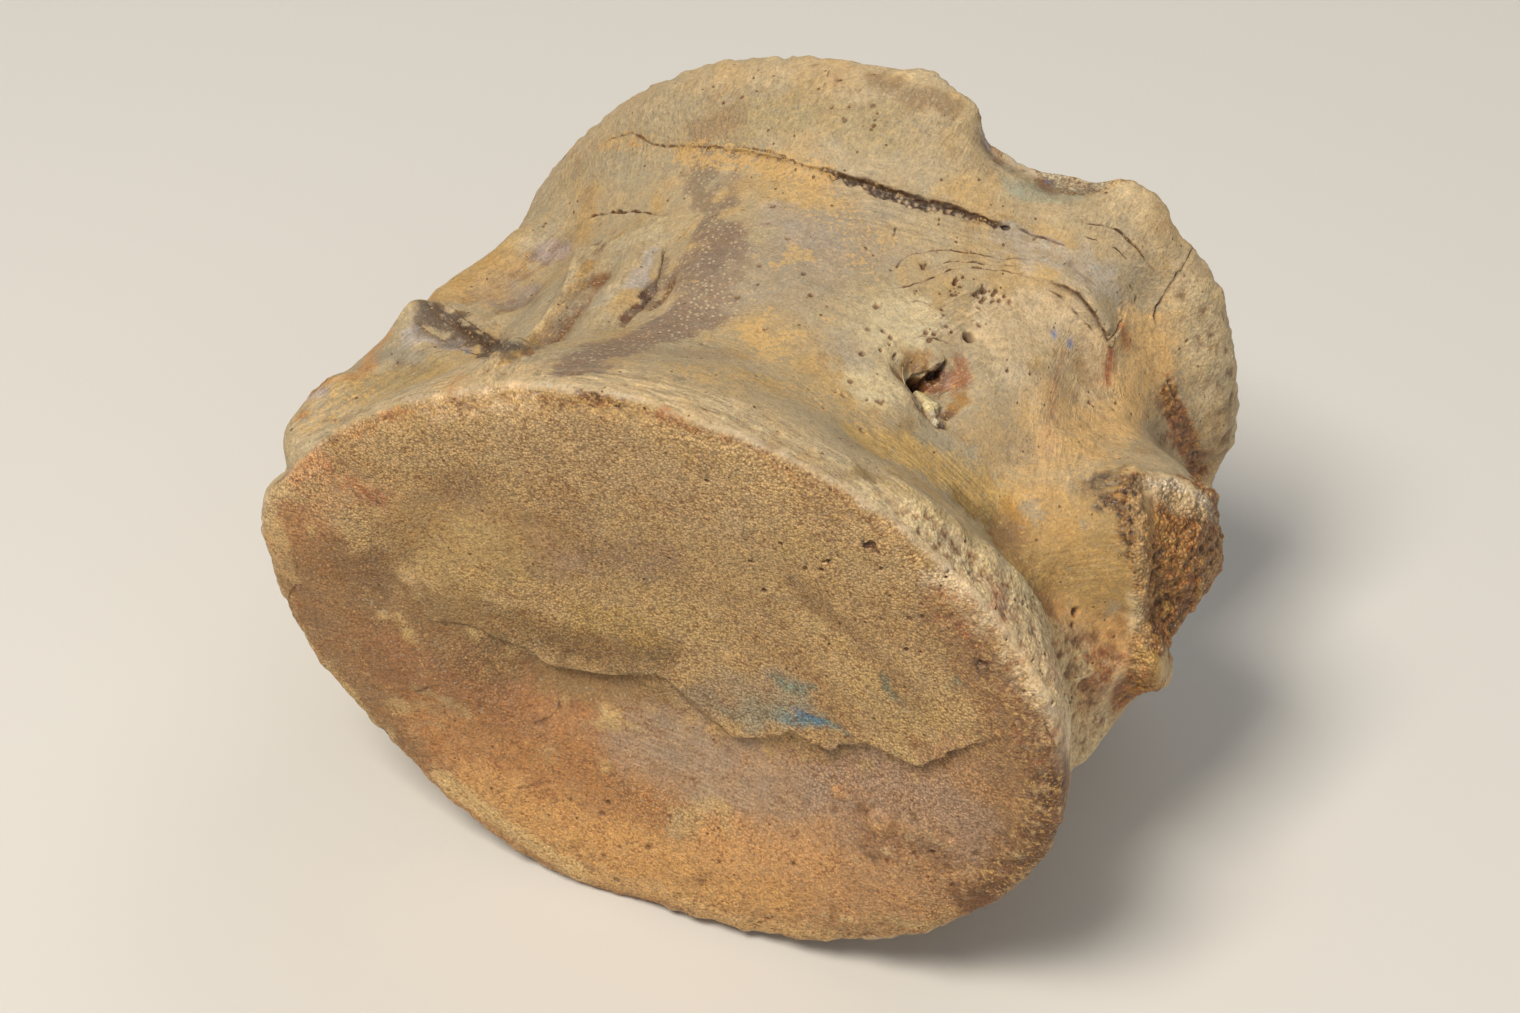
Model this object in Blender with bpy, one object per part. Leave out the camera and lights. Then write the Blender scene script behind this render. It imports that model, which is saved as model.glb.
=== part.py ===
# A fossil plesiosaur vertebra: one bone, lying on its back with the belly side up.
# The body is a waisted spool along Y, with a dished oval face at each end. The ribs
# and the neural arch have broken off, which leaves two rib stubs at the sides and two
# low arch stubs under the bone. It rests on the arch stubs.
#
# Frame: X across the bone, Y along its axis with the near face at -Y, Z up.
# The origin is in the middle of the footprint, on the surface that the bone rests on.

import math

import bmesh
import bpy
from mathutils import Vector, noise

MM = 0.001

# The two end faces and the body between them, in millimetres
FACE_WIDTH = 100.0
FACE_HEIGHT = 82.2
LENGTH = 70.0
DISH_DEPTH = 5.0
DISH_ENDS = (0.1, 0.94)
RIM_ROUNDING = 0.9
RIM_STARTS = 0.93

# Where each face's outline leaves the plain oval: angle, spread in degrees, change
# in millimetres. Angle 0 is the bone's right side (+X), 90 the belly side (+Z).
NEAR_OUTLINE = ((180, 30, 0.5), (138, 26, -2.2), (-150, 17, -2.2), (-112, 16, 1.5), (-84, 10, -1.0))
FAR_OUTLINE = ((34, 17, 2.4), (90, 15, 0.6), (150, 24, -2.5), (-84, 10, -1.4), (-132, 20, -1.2))

# The waist: the share of the radius lost halfway along, by side of the bone
WAIST_BELLY = 0.195
WAIST_BACK = 0.06
WAIST_BACK_SPREAD = 58
WAIST_NEAR_END = (0.03, 0.36)
WAIST_FAR_END = (0.97, 0.68)

# The piece missing from the far rim, beside the belly's midline. The higher the fade,
# the less of it shows on the face.
CHIP_ANGLE = 61
CHIP_SPREAD = 10
CHIP_DEPTH = 5.2
CHIP_REACH = 8.0
CHIP_FADE = 6

# Broken rib stubs. "out" is how far out the middle of the break lies, and "y", "z",
# "half_y" and "half_z" place and size it. "lean" says how much further out the break
# gets for each millimetre along Y and Z, and "slant" how much it rises along Y.
# "foot" is how far the stub's foot spreads, as a share of its half size. The last two
# are the low ridges that run from the right stub to the near rim and from the left
# stub to the far rim. The break begins at the "top" share of the half size, and the
# stubs stay within the directions that the least cosine allows.
STUB_TOP = 0.9
STUB_LEAST_COSINE = 0.5
RIB_STUBS = (
    {
        "side": 1, "out": 55.5, "y": 36.5, "z": 5.5, "half_y": 10.5, "half_z": 14.0,
        "lean_y": 0.0, "lean_z": -0.03, "slant": -0.42, "foot": 0.9,
    },
    {
        "side": -1, "out": 57.5, "y": 30.5, "z": -3.5, "half_y": 15.5, "half_z": 13.5,
        "lean_y": -0.2, "lean_z": -0.08, "slant": 0.1, "foot": 0.6,
    },
    {
        "side": 1, "out": 51.5, "y": 23.0, "z": -8.0, "half_y": 6.0, "half_z": 5.5,
        "lean_y": 0.30, "lean_z": 0.0, "slant": 0.4, "foot": 1.2,
    },
    {
        "side": -1, "out": 48.0, "y": 49.5, "z": 5.0, "half_y": 7.5, "half_z": 8.0,
        "lean_y": -0.6, "lean_z": -0.1, "slant": 0.5, "foot": 1.2,
    },
)

# The stubs' steep feet are smoothed: how often, between which places along Y, and only
# further out to the side or further down than this
FOOT_SMOOTHING = 5
FOOT_Y = (8, 62)
FOOT_SIDE = 36
FOOT_BELOW = -30

# Stubs of the neural arch, either side of the canal: they end on the plane that the
# bone rests on. Each has a middle, a half size and the reach of its foot, across the
# bone on the canal's side, on the outer side, and along the bone.
REST_PLANE = -41.8
FLAT_TOLERANCE = 0.05
ARCH_STUB_X = 15.0
ARCH_STUB_Y = 35.0
ARCH_STUB_IN = (6.0, 6.0)
ARCH_STUB_OUT = (6.5, 17.0)
ARCH_STUB_ALONG = (17.0, 14.0)
ARCH_LEAST_SINE = 0.6

# Vessel holes: angle, place along Y, half sizes around and along the bone, depth. The
# wall starts and ends at these shares of the half size. Faces are cut finer this near.
HOLE_WALL = (1.35, 0.25)
HOLE_NEARBY = 5.5
HOLE_CUTS = 2
VESSEL_HOLES = (
    {"angle": 50, "y": 31, "half_around": 2.1, "half_along": 3.2, "depth": 7.0},
    {"angle": 111, "y": 31, "half_around": 1.3, "half_along": 3.0, "depth": 4.0},
    {"angle": -87, "y": 30, "half_around": 1.3, "half_along": 2.0, "depth": 3.0},
    {"angle": -94, "y": 38, "half_around": 1.2, "half_along": 1.8, "depth": 3.0},
)

# Slow unevenness of the whole surface
SWELL_HEIGHT = 0.45
SWELL_SIZE = 13.0
SMOOTH_BELOW_DEGREES = 40

# The net of points: steps around, rings across each face, rings along the body
STEPS_AROUND = 92
MERGE_DISTANCE = 0.00001
FACE_RINGS = (0.0, 0.2, 0.4, 0.58, 0.73, 0.85, 0.93, 0.975)
BODY_RINGS = (
    0, 0.9, 2.4, 4.8, 7.5, 10.2, 12.9, 15.6, 18.3, 21.0, 23.7, 26.4, 29.1, 31.8,
    34.5, 37.2, 39.9, 42.6, 45.3, 48.0, 50.7, 53.4, 56.1, 58.8, 61.8, 64.8, 67.4, 69.1, 70,
)

BONE_COLOUR = (0.42, 0.27, 0.12, 1.0)
BONE_ROUGHNESS = 0.8


def ease(start, end, value):
    # 0 at start, 1 at end, with no corner at either
    share = min(1.0, max(0.0, (value - start) / (end - start)))
    return share * share * (3 - 2 * share)


def hump(distance, spread):
    return math.exp(-((distance / spread) ** 2))


def turn_between(angle, other):
    # The smaller turn between two directions, in degrees
    return abs((angle - other + 180) % 360 - 180)


def outline_radius(angle, changes):
    # Distance from a face's middle to its rim
    a, b = FACE_WIDTH / 2, FACE_HEIGHT / 2
    radians = math.radians(angle)
    oval = a * b / math.hypot(b * math.cos(radians), a * math.sin(radians))
    return oval + sum(change * hump(turn_between(angle, at), spread) for at, spread, change in changes)


def waist_share(angle, y):
    # How much of the radius the waist takes away here
    along = y / LENGTH
    back = hump(turn_between(angle, -90), WAIST_BACK_SPREAD)
    depth = WAIST_BELLY + (WAIST_BACK - WAIST_BELLY) * back
    return depth * ease(*WAIST_NEAR_END, along) * ease(*WAIST_FAR_END, along)


def body_radius(angle, y):
    # The plain spool
    far = ease(0, LENGTH, y)
    near_radius = outline_radius(angle, NEAR_OUTLINE)
    far_radius = outline_radius(angle, FAR_OUTLINE)
    radius = near_radius + (far_radius - near_radius) * far
    return radius * (1 - waist_share(angle, y))


def chip_depth(angle, y):
    # What the chip takes off the far rim
    return CHIP_DEPTH * hump(turn_between(angle, CHIP_ANGLE), CHIP_SPREAD) * hump(LENGTH - y, CHIP_REACH)


def with_rib_stub(radius, stub, angle, y):
    # Draws the surface out to the plane of the rib's break
    cosine = math.cos(math.radians(angle)) * stub["side"]
    if cosine < STUB_LEAST_COSINE:
        return radius
    along = y - stub["y"]
    z = stub["out"] * math.sin(math.radians(angle)) / cosine
    up = z - stub["z"] - stub["slant"] * along
    out = stub["out"] + stub["lean_y"] * along + stub["lean_z"] * up
    distance = math.hypot(along / stub["half_y"], up / stub["half_z"])
    share = ease(1 + stub["foot"], STUB_TOP, distance)
    return radius + max(0, out / cosine - radius) * share


def foot_distance(offset, size):
    # 1 at the edge of the broken end, 2 where the foot runs out
    half, foot = size
    return offset / half if offset < half else 1 + (offset - half) / foot


def with_arch_stubs(radius, angle, y):
    # Draws the surface down to the plane of the arch's two breaks
    sine = -math.sin(math.radians(angle))
    if sine < ARCH_LEAST_SINE:
        return radius
    break_radius = -REST_PLANE / sine
    x = break_radius * math.cos(math.radians(angle))
    across = abs(x) - ARCH_STUB_X
    side = foot_distance(abs(across), ARCH_STUB_OUT if across > 0 else ARCH_STUB_IN)
    along = foot_distance(abs(y - ARCH_STUB_Y), ARCH_STUB_ALONG)
    share = ease(2, STUB_TOP, math.hypot(side, along))
    return radius + max(0, break_radius - radius) * share


def with_vessel_holes(radius, angle, y):
    for hole in VESSEL_HOLES:
        around = math.radians(turn_between(angle, hole["angle"])) * radius
        distance = math.hypot(around / hole["half_around"], (y - hole["y"]) / hole["half_along"])
        radius -= hole["depth"] * ease(*HOLE_WALL, distance)
    return radius


def surface_radius(angle, y):
    radius = body_radius(angle, y)
    for stub in RIB_STUBS:
        radius = with_rib_stub(radius, stub, angle, y)
    radius = with_arch_stubs(radius, angle, y)
    return with_vessel_holes(radius, angle, y)


def face_depth(share):
    # How far the dished face lies inside its rim plane, from the middle (0) to the rim (1)
    dish = DISH_DEPTH * (1 - ease(*DISH_ENDS, share))
    return dish + RIM_ROUNDING * ease(RIM_STARTS, 1.0, share) ** 2


def place_point(point):
    # Takes a point of the plain cylinder (radius 1, Y in millimetres) to the bone
    share = min(1.0, math.hypot(point.x, point.z))
    angle = math.degrees(math.atan2(point.z, point.x))
    y = point.y
    radius = share * surface_radius(angle, y) - chip_depth(angle, y) * share**CHIP_FADE
    if y < RIM_ROUNDING:
        y = max(y, face_depth(share))
    elif y > LENGTH - RIM_ROUNDING:
        y = min(y, LENGTH - face_depth(share))
    radians = math.radians(angle)
    return Vector((radius * math.cos(radians), y, radius * math.sin(radians)))


def cylinder_net(bm):
    # A closed cylinder about Y, spun from the line face middle, rim, rim, face middle
    line = [(share, 0.0) for share in FACE_RINGS]
    line += [(1.0, y) for y in BODY_RINGS]
    line += [(share, LENGTH) for share in reversed(FACE_RINGS)]
    points = [bm.verts.new((share, y, 0.0)) for share, y in line]
    edges = [bm.edges.new(pair) for pair in zip(points, points[1:])]
    bmesh.ops.spin(
        bm, geom=points + edges, cent=(0, 0, 0), axis=(0, 1, 0),
        angle=math.tau, steps=STEPS_AROUND, use_merge=True, use_duplicate=False,
    )
    bmesh.ops.remove_doubles(bm, verts=bm.verts, dist=MERGE_DISTANCE)
    bmesh.ops.recalc_face_normals(bm, faces=bm.faces)


def is_near_hole(point):
    # For a point of the plain cylinder
    angle = math.degrees(math.atan2(point.z, point.x))
    for hole in VESSEL_HOLES:
        around = math.radians(turn_between(angle, hole["angle"])) * body_radius(angle, point.y)
        if math.hypot(around, point.y - hole["y"]) < HOLE_NEARBY:
            return True
    return False


def refine_round_holes(bm):
    # Smaller faces where the vessel holes go
    edges = []
    for edge in bm.edges:
        middle = (edge.verts[0].co + edge.verts[1].co) / 2
        if 0 < middle.y < LENGTH and is_near_hole(middle):
            edges.append(edge)
    bmesh.ops.subdivide_edges(bm, edges=edges, cuts=HOLE_CUTS, use_grid_fill=True)
    for vert in bm.verts:
        if 0 < vert.co.y < LENGTH:
            share = math.hypot(vert.co.x, vert.co.z)
            vert.co.x /= share
            vert.co.z /= share


def is_on_foot(point):
    inside = FOOT_Y[0] < point.y < FOOT_Y[1] and point.z > REST_PLANE + FLAT_TOLERANCE
    return inside and (abs(point.x) > FOOT_SIDE or point.z < FOOT_BELOW)


def smooth_feet(bm):
    # Takes the kinks out of the stubs' steep feet
    steep = [vert for vert in bm.verts if is_on_foot(vert.co)]
    for _ in range(FOOT_SMOOTHING):
        bmesh.ops.smooth_vert(
            bm, verts=steep, factor=0.5, use_axis_x=True, use_axis_y=True, use_axis_z=True,
        )


def swell(point):
    # A slow, uneven rise and fall of the surface
    return SWELL_HEIGHT * noise.noise(point / SWELL_SIZE)


def settle(bm):
    # Flattens what lies on the rest plane, and puts the origin under the middle
    for vert in bm.verts:
        vert.co.z = max(vert.co.z, REST_PLANE)
    lowest = [min(vert.co[i] for vert in bm.verts) for i in range(3)]
    highest = [max(vert.co[i] for vert in bm.verts) for i in range(3)]
    middle = Vector(((lowest[0] + highest[0]) / 2, (lowest[1] + highest[1]) / 2, lowest[2]))
    for vert in bm.verts:
        vert.co = (vert.co - middle) * MM


def bone_material():
    material = bpy.data.materials.new("fossil_bone")
    material.use_nodes = True
    surface = material.node_tree.nodes["Principled BSDF"]
    surface.inputs["Base Color"].default_value = BONE_COLOUR
    surface.inputs["Roughness"].default_value = BONE_ROUGHNESS
    surface.inputs["Metallic"].default_value = 0.0
    return material


def build_vertebra():
    bm = bmesh.new()
    cylinder_net(bm)
    refine_round_holes(bm)
    for vert in bm.verts:
        vert.co = place_point(vert.co)
    smooth_feet(bm)
    bm.normal_update()
    moves = [(vert, vert.normal * swell(vert.co)) for vert in bm.verts]
    for vert, move in moves:
        if vert.co.z > REST_PLANE + FLAT_TOLERANCE:
            vert.co += move
    settle(bm)
    bmesh.ops.triangulate(bm, faces=bm.faces, quad_method="SHORT_EDGE")
    mesh = bpy.data.meshes.new("vertebra")
    bm.to_mesh(mesh)
    bm.free()
    mesh.shade_smooth()
    mesh.set_sharp_from_angle(angle=math.radians(SMOOTH_BELOW_DEGREES))
    mesh.materials.append(bone_material())
    vertebra = bpy.data.objects.new("vertebra", mesh)
    bpy.context.scene.collection.objects.link(vertebra)
    return vertebra


for old in list(bpy.data.objects):
    bpy.data.objects.remove(old)
build_vertebra()
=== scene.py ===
import math

import bmesh
import bpy
import numpy as np
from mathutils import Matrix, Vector
from mathutils.bvhtree import BVHTree


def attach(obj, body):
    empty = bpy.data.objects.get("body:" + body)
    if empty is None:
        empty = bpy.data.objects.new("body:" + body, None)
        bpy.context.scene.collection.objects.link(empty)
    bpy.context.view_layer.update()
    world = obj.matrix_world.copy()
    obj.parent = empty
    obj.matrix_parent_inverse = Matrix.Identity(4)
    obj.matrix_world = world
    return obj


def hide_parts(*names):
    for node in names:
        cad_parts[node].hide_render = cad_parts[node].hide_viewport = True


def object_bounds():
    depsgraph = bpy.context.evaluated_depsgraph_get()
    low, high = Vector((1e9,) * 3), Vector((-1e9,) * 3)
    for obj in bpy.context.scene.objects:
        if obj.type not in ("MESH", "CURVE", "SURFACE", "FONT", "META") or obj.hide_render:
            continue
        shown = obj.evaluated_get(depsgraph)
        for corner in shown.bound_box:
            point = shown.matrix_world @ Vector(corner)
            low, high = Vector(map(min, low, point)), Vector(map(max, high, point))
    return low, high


# a fossil plesiosaur vertebra, lying belly side up on its broken arch stubs
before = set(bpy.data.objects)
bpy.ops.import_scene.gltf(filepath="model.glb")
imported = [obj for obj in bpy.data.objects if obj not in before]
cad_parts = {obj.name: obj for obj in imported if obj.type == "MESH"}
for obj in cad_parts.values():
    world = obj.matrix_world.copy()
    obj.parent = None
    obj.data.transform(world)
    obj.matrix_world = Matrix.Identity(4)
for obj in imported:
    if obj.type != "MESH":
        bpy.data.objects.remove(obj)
cadLow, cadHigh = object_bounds()
mm = 0.001
boneMiddle = (0, 0, 0.04)  # about the middle of the bone, in metres
print("frame loaded")


# the photo's camera, in degrees and millimetres: it looks at a point right of and above
# the middle of the near end face
camera = {
    "azimuth": 23.0,
    "elevation": 42.0,
    "fieldOfView": 30.0,
    "distance": 299.35,
    "aimRight": 14.19,
    "aimUp": 31.89,
    "faceMiddle": (1.78, 41.8),  # x and z of the middle of the end faces
    "photoSize": (1520, 1013),
}


def directionAt(azimuth, elevation):
    # the direction from the bone to what stands at two angles in degrees
    turn, tilt = math.radians(azimuth), math.radians(elevation)
    return Vector((math.sin(turn) * math.cos(tilt), -math.cos(turn) * math.cos(tilt), math.sin(tilt)))


def placed(name, data, place, back):
    # puts a camera or a lamp in the scene, turned away from the direction back
    body = bpy.data.objects.new(name, data)
    body.location = place
    body.rotation_mode = "QUATERNION"
    body.rotation_quaternion = (-back).to_track_quat("-Z", "Y")
    bpy.context.scene.collection.objects.link(body)
    return body


def cameraAxes():
    turn = math.radians(camera["azimuth"])
    back = directionAt(camera["azimuth"], camera["elevation"])
    right = Vector((math.cos(turn), math.sin(turn), 0))
    return right, back.cross(right), back


def cameraPlace():
    middleX, middleZ = camera["faceMiddle"]
    aim = Vector((middleX + camera["aimRight"], cadLow.y / mm, middleZ + camera["aimUp"]))
    return (aim + cameraAxes()[2] * camera["distance"]) * mm


def addCamera():
    data = bpy.data.cameras.new("camera")
    data.sensor_width = 36
    data.lens = 18 / math.tan(math.radians(camera["fieldOfView"] / 2))
    data.clip_start = 0.01
    bpy.context.scene.camera = placed("camera", data, cameraPlace(), cameraAxes()[2])


def pixelRay(x, y):
    # the direction in which the photo's camera sees one of its pixels
    right, up, back = cameraAxes()
    wide, high = camera["photoSize"]
    reach = math.tan(math.radians(camera["fieldOfView"] / 2)) / (wide / 2)
    return (right * (x - wide / 2) * reach + up * (high / 2 - y) * reach - back).normalized()


studio = {
    "floorSize": 3.0,
    "floorColour": "#d9d5cd",
    "worldColour": "#dfe3e8",
    "worldStrength": 0.26,
    # name, azimuth, elevation, distance and width in metres, power, colour
    "lights": (
        ("key", -18, 61, 0.9, 0.3, 8.0, "#fff8ee"),
        ("fill", 55, 30, 1.1, 0.8, 1.3, "#f4f7ff"),
        ("back", 165, 50, 1.0, 0.6, 1.6, "#ffffff"),
    ),
}


def linear(hexColour):
    # an sRGB hex value as linear red, green, blue and alpha
    values = [int(hexColour[i : i + 2], 16) / 255 for i in (1, 3, 5)]
    return tuple(v / 12.92 if v <= 0.04045 else ((v + 0.055) / 1.055) ** 2.4 for v in values) + (1.0,)


def addStudio():
    bm = bmesh.new()
    bmesh.ops.create_grid(bm, x_segments=1, y_segments=1, size=studio["floorSize"] / 2)
    mesh = bpy.data.meshes.new("floor")
    bm.to_mesh(mesh)
    bm.free()
    paint = bpy.data.materials.new("matt painted board")
    paint.use_nodes = True
    shader = paint.node_tree.nodes["Principled BSDF"]
    shader.inputs["Base Color"].default_value = linear(studio["floorColour"])
    shader.inputs["Roughness"].default_value = 0.9
    mesh.materials.append(paint)
    floor = bpy.data.objects.new("floor", mesh)
    bpy.context.scene.collection.objects.link(floor)
    world = bpy.data.worlds.new("studio")
    world.use_nodes = True
    sky = world.node_tree.nodes["Background"]
    sky.inputs["Color"].default_value = linear(studio["worldColour"])
    sky.inputs["Strength"].default_value = studio["worldStrength"]
    bpy.context.scene.world = world
    middle = Vector(boneMiddle)
    for name, azimuth, elevation, distance, width, power, colour in studio["lights"]:
        data = bpy.data.lights.new(name, "AREA")
        data.size = width
        data.energy = power
        data.color = linear(colour)[:3]
        away = directionAt(azimuth, elevation)
        placed(name, data, middle + away * distance, away)
    bpy.context.scene.view_settings.view_transform = "Standard"


addCamera()
addStudio()
print("camera and studio set")


def ease(value, start, end):
    # 0 before start, 1 past end, and a smooth rise between them; start may be past end
    part = np.clip((value - start) / (end - start), 0, 1)
    return part * part * (3 - 2 * part)


def between(value, start, risen, falling, end):
    # 1 from risen to falling, and smoothly down to 0 at start and at end
    return ease(value, start, risen) * ease(value, end, falling)


def scrambled(cells, seed):
    # a whole number for each grid cell that looks random and is the same each run
    mixed = cells @ np.array((374761393, 668265263, 2147483647)) + seed * 69069
    mixed = (mixed ^ (mixed >> 13)) * 1274126177 & 0xFFFFFFFF
    return (mixed ^ (mixed >> 16)) * 2246822519 & 0xFFFFFFFF


def lumps(places, size, seed):
    # smooth noise of about -1 to 1 with lumps of a size in millimetres, the same each run
    grid = places / size + seed * 11.73
    cell = np.floor(grid).astype(np.int64)
    part = grid - cell
    fade = part**3 * (part * (part * 6 - 15) + 10)
    total = np.zeros(len(places))
    for corner in np.ndindex(2, 2, 2):
        mixed = scrambled(cell + corner, seed)
        turn = (mixed & 0xFFFF) * (math.tau / 65536)
        rise = ((mixed >> 16) & 0xFFFF) / 32768 - 1
        flat = np.sqrt(1 - rise * rise)
        slope = np.stack((np.cos(turn) * flat, np.sin(turn) * flat, rise), axis=1)
        toward = part - corner
        share = np.prod(np.where(np.array(corner) == 1, fade, 1 - fade), axis=1)
        total += share * (slope * toward).sum(1)
    return total * 1.5


def pebbles(places, size, seed):
    # cell noise: 0 in the middle of each pebble and about 1 in the gaps, then each pebble's own tone
    grid = places / size + seed * 7.31
    cell = np.floor(grid).astype(np.int64)
    nearest = np.full(len(places), 9.0)
    tone = np.zeros(len(places))
    for corner in np.ndindex(3, 3, 3):
        home = cell + np.array(corner) - 1
        mixed = scrambled(home, seed)
        jitter = np.stack((mixed & 1023, (mixed >> 10) & 1023, (mixed >> 20) & 1023), axis=1) / 1023
        gap = ((home + jitter - grid) ** 2).sum(1)
        tone = np.where(gap < nearest, (mixed >> 7 & 255) / 255, tone)
        nearest = np.minimum(nearest, gap)
    return np.sqrt(nearest), tone


# noise patterns: lump size in millimetres and seed
noises = {
    "fine": (0.9, 31),
    "small": (1.8, 32),
    "medium": (3.6, 33),
    "ridges": (1.1, 34),
    "ripples": (2.0, 35),
    "nearNicks": (3.1, 41),
    "farNicks": (3.1, 42),
    "broad": (12.0, 61),
    "patch": (5.5, 62),
    "bits": (1.1, 63),
    "sway": (4.2, 64),
    "specks": (0.6, 65),
}


def noise(name, places):
    return lumps(places, *noises[name])


def summed(mix, patterns):
    # a sum of patterns, each times its share in the mix
    return sum(part * patterns[name] for name, part in mix.items())


blank = {
    "joinAngle": 40.0,  # degrees between the CAD triangles that become one face
    "roundings": 2,
    "voxel": 0.5,  # millimetres
    "smoothing": 6,
}


def evaluated(piece):
    # the mesh that a piece's modifiers make
    graph = bpy.context.evaluated_depsgraph_get()
    mesh = bpy.data.meshes.new_from_object(piece.evaluated_get(graph))
    piece.modifiers.clear()
    return mesh


def roughBlank():
    # a fine, even copy of the CAD bone to carve
    bm = bmesh.new()
    bm.from_mesh(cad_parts["vertebra"].data)
    bmesh.ops.remove_doubles(bm, verts=bm.verts, dist=0.001 * mm)
    flat = math.radians(blank["joinAngle"])
    bmesh.ops.join_triangles(bm, faces=bm.faces, angle_face_threshold=flat, angle_shape_threshold=flat)
    mesh = bpy.data.meshes.new("plesiosaurVertebra")
    bm.to_mesh(mesh)
    bm.free()
    piece = bpy.data.objects.new("plesiosaurVertebra", mesh)
    bpy.context.scene.collection.objects.link(piece)
    rounder = piece.modifiers.new("rounder", "SUBSURF")
    rounder.levels = blank["roundings"]
    rounder.render_levels = blank["roundings"]
    even = piece.modifiers.new("even", "REMESH")
    even.mode = "VOXEL"
    even.voxel_size = blank["voxel"] * mm
    piece.data = evaluated(piece)
    bm = bmesh.new()
    bm.from_mesh(piece.data)
    for _ in range(blank["smoothing"]):
        bmesh.ops.smooth_vert(
            bm, verts=bm.verts, factor=0.5, use_axis_x=True, use_axis_y=True, use_axis_z=True
        )
    bm.to_mesh(piece.data)
    bm.free()
    return piece


def read(mesh):
    # the places of a mesh's points in millimetres, and its normals there
    places = np.empty(len(mesh.vertices) * 3)
    mesh.vertices.foreach_get("co", places)
    normals = np.empty(len(mesh.vertices) * 3)
    mesh.vertex_normals.foreach_get("vector", normals)
    return places.reshape(-1, 3) / mm, normals.reshape(-1, 3)


def moved(mesh, places):
    mesh.vertices.foreach_set("co", (places * mm).ravel())
    mesh.update()


bone = roughBlank()
print("blank", len(bone.data.vertices))


def surfaceTree(mesh):
    bm = bmesh.new()
    bm.from_mesh(mesh)
    tree = BVHTree.FromBMesh(bm)
    bm.free()
    return tree


def onBone(tree, spot):
    # the point of the bone at a pixel of the photo, or the nearest one where the pixel just
    # misses it; a spot of three numbers is a place in millimetres instead
    if len(spot) == 3:
        return np.array(tree.find_nearest(Vector(spot) * mm)[0]) / mm
    eye = cameraPlace()
    ray = pixelRay(*spot)
    hit = tree.ray_cast(eye, ray)[0]
    if hit is None:
        hit = Vector(boneMiddle)
        for _ in range(4):
            hit = tree.find_nearest(eye + ray * (hit - eye).dot(ray))[0]
    return np.array(hit) / mm


def traced(tree, spots):
    # a smooth line on the bone through its spots
    if len(spots) == 1:
        return np.array([onBone(tree, spots[0])])
    knots = np.array([spots[0], *spots, spots[-1]], float)
    stride = 7 if len(spots[0]) == 2 else 1.0
    line = []
    for before, start, end, after in zip(knots, knots[1:], knots[2:], knots[3:]):
        steps = max(2, int(np.linalg.norm(end - start) / stride))
        for part in np.arange(steps) / steps:
            bend = (end - before) * part + (2 * before - 5 * start + 4 * end - after) * part**2
            bend += (3 * start - before - 3 * end + after) * part**3
            line.append(onBone(tree, start + bend / 2))
    line.append(onBone(tree, spots[-1]))
    return np.array(line)


def nearLine(places, normals, line, reach):
    # which points lie within reach of a line, how far off, how far along it and on which side
    inside = ((places > line.min(0) - reach) & (places < line.max(0) + reach)).all(1)
    picked = np.flatnonzero(inside)
    points = places[picked]
    if len(line) == 1:
        gap = np.linalg.norm(points - line[0], axis=1)
        return picked, gap, np.full(len(picked), 0.5), np.ones(len(picked))
    gap = np.full(len(picked), float(reach))
    along = np.zeros(len(picked))
    side = np.ones(len(picked))
    for i, (start, end) in enumerate(zip(line, line[1:])):
        run = end - start
        part = np.clip((points - start) @ run / max(run @ run, 1e-9), 0, 1)
        offset = points - start - part[:, None] * run
        far = np.linalg.norm(offset, axis=1)
        closer = far < gap
        gap[closer] = far[closer]
        along[closer] = (i + part[closer]) / (len(line) - 1)
        across = np.cross(run, normals[picked[closer]])
        side[closer] = np.sign((across * offset[closer]).sum(1))
    return picked, gap, along, side


# holes of the CAD bone that are filled before finer ones are cut: spot, radius in
# millimetres and the share of the hole that goes
fillings = {
    "firstHole": ((926, 378), 5.5, 0.85),
    "secondHole": ((652, 282), 4.5, 0.7),
}
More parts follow.
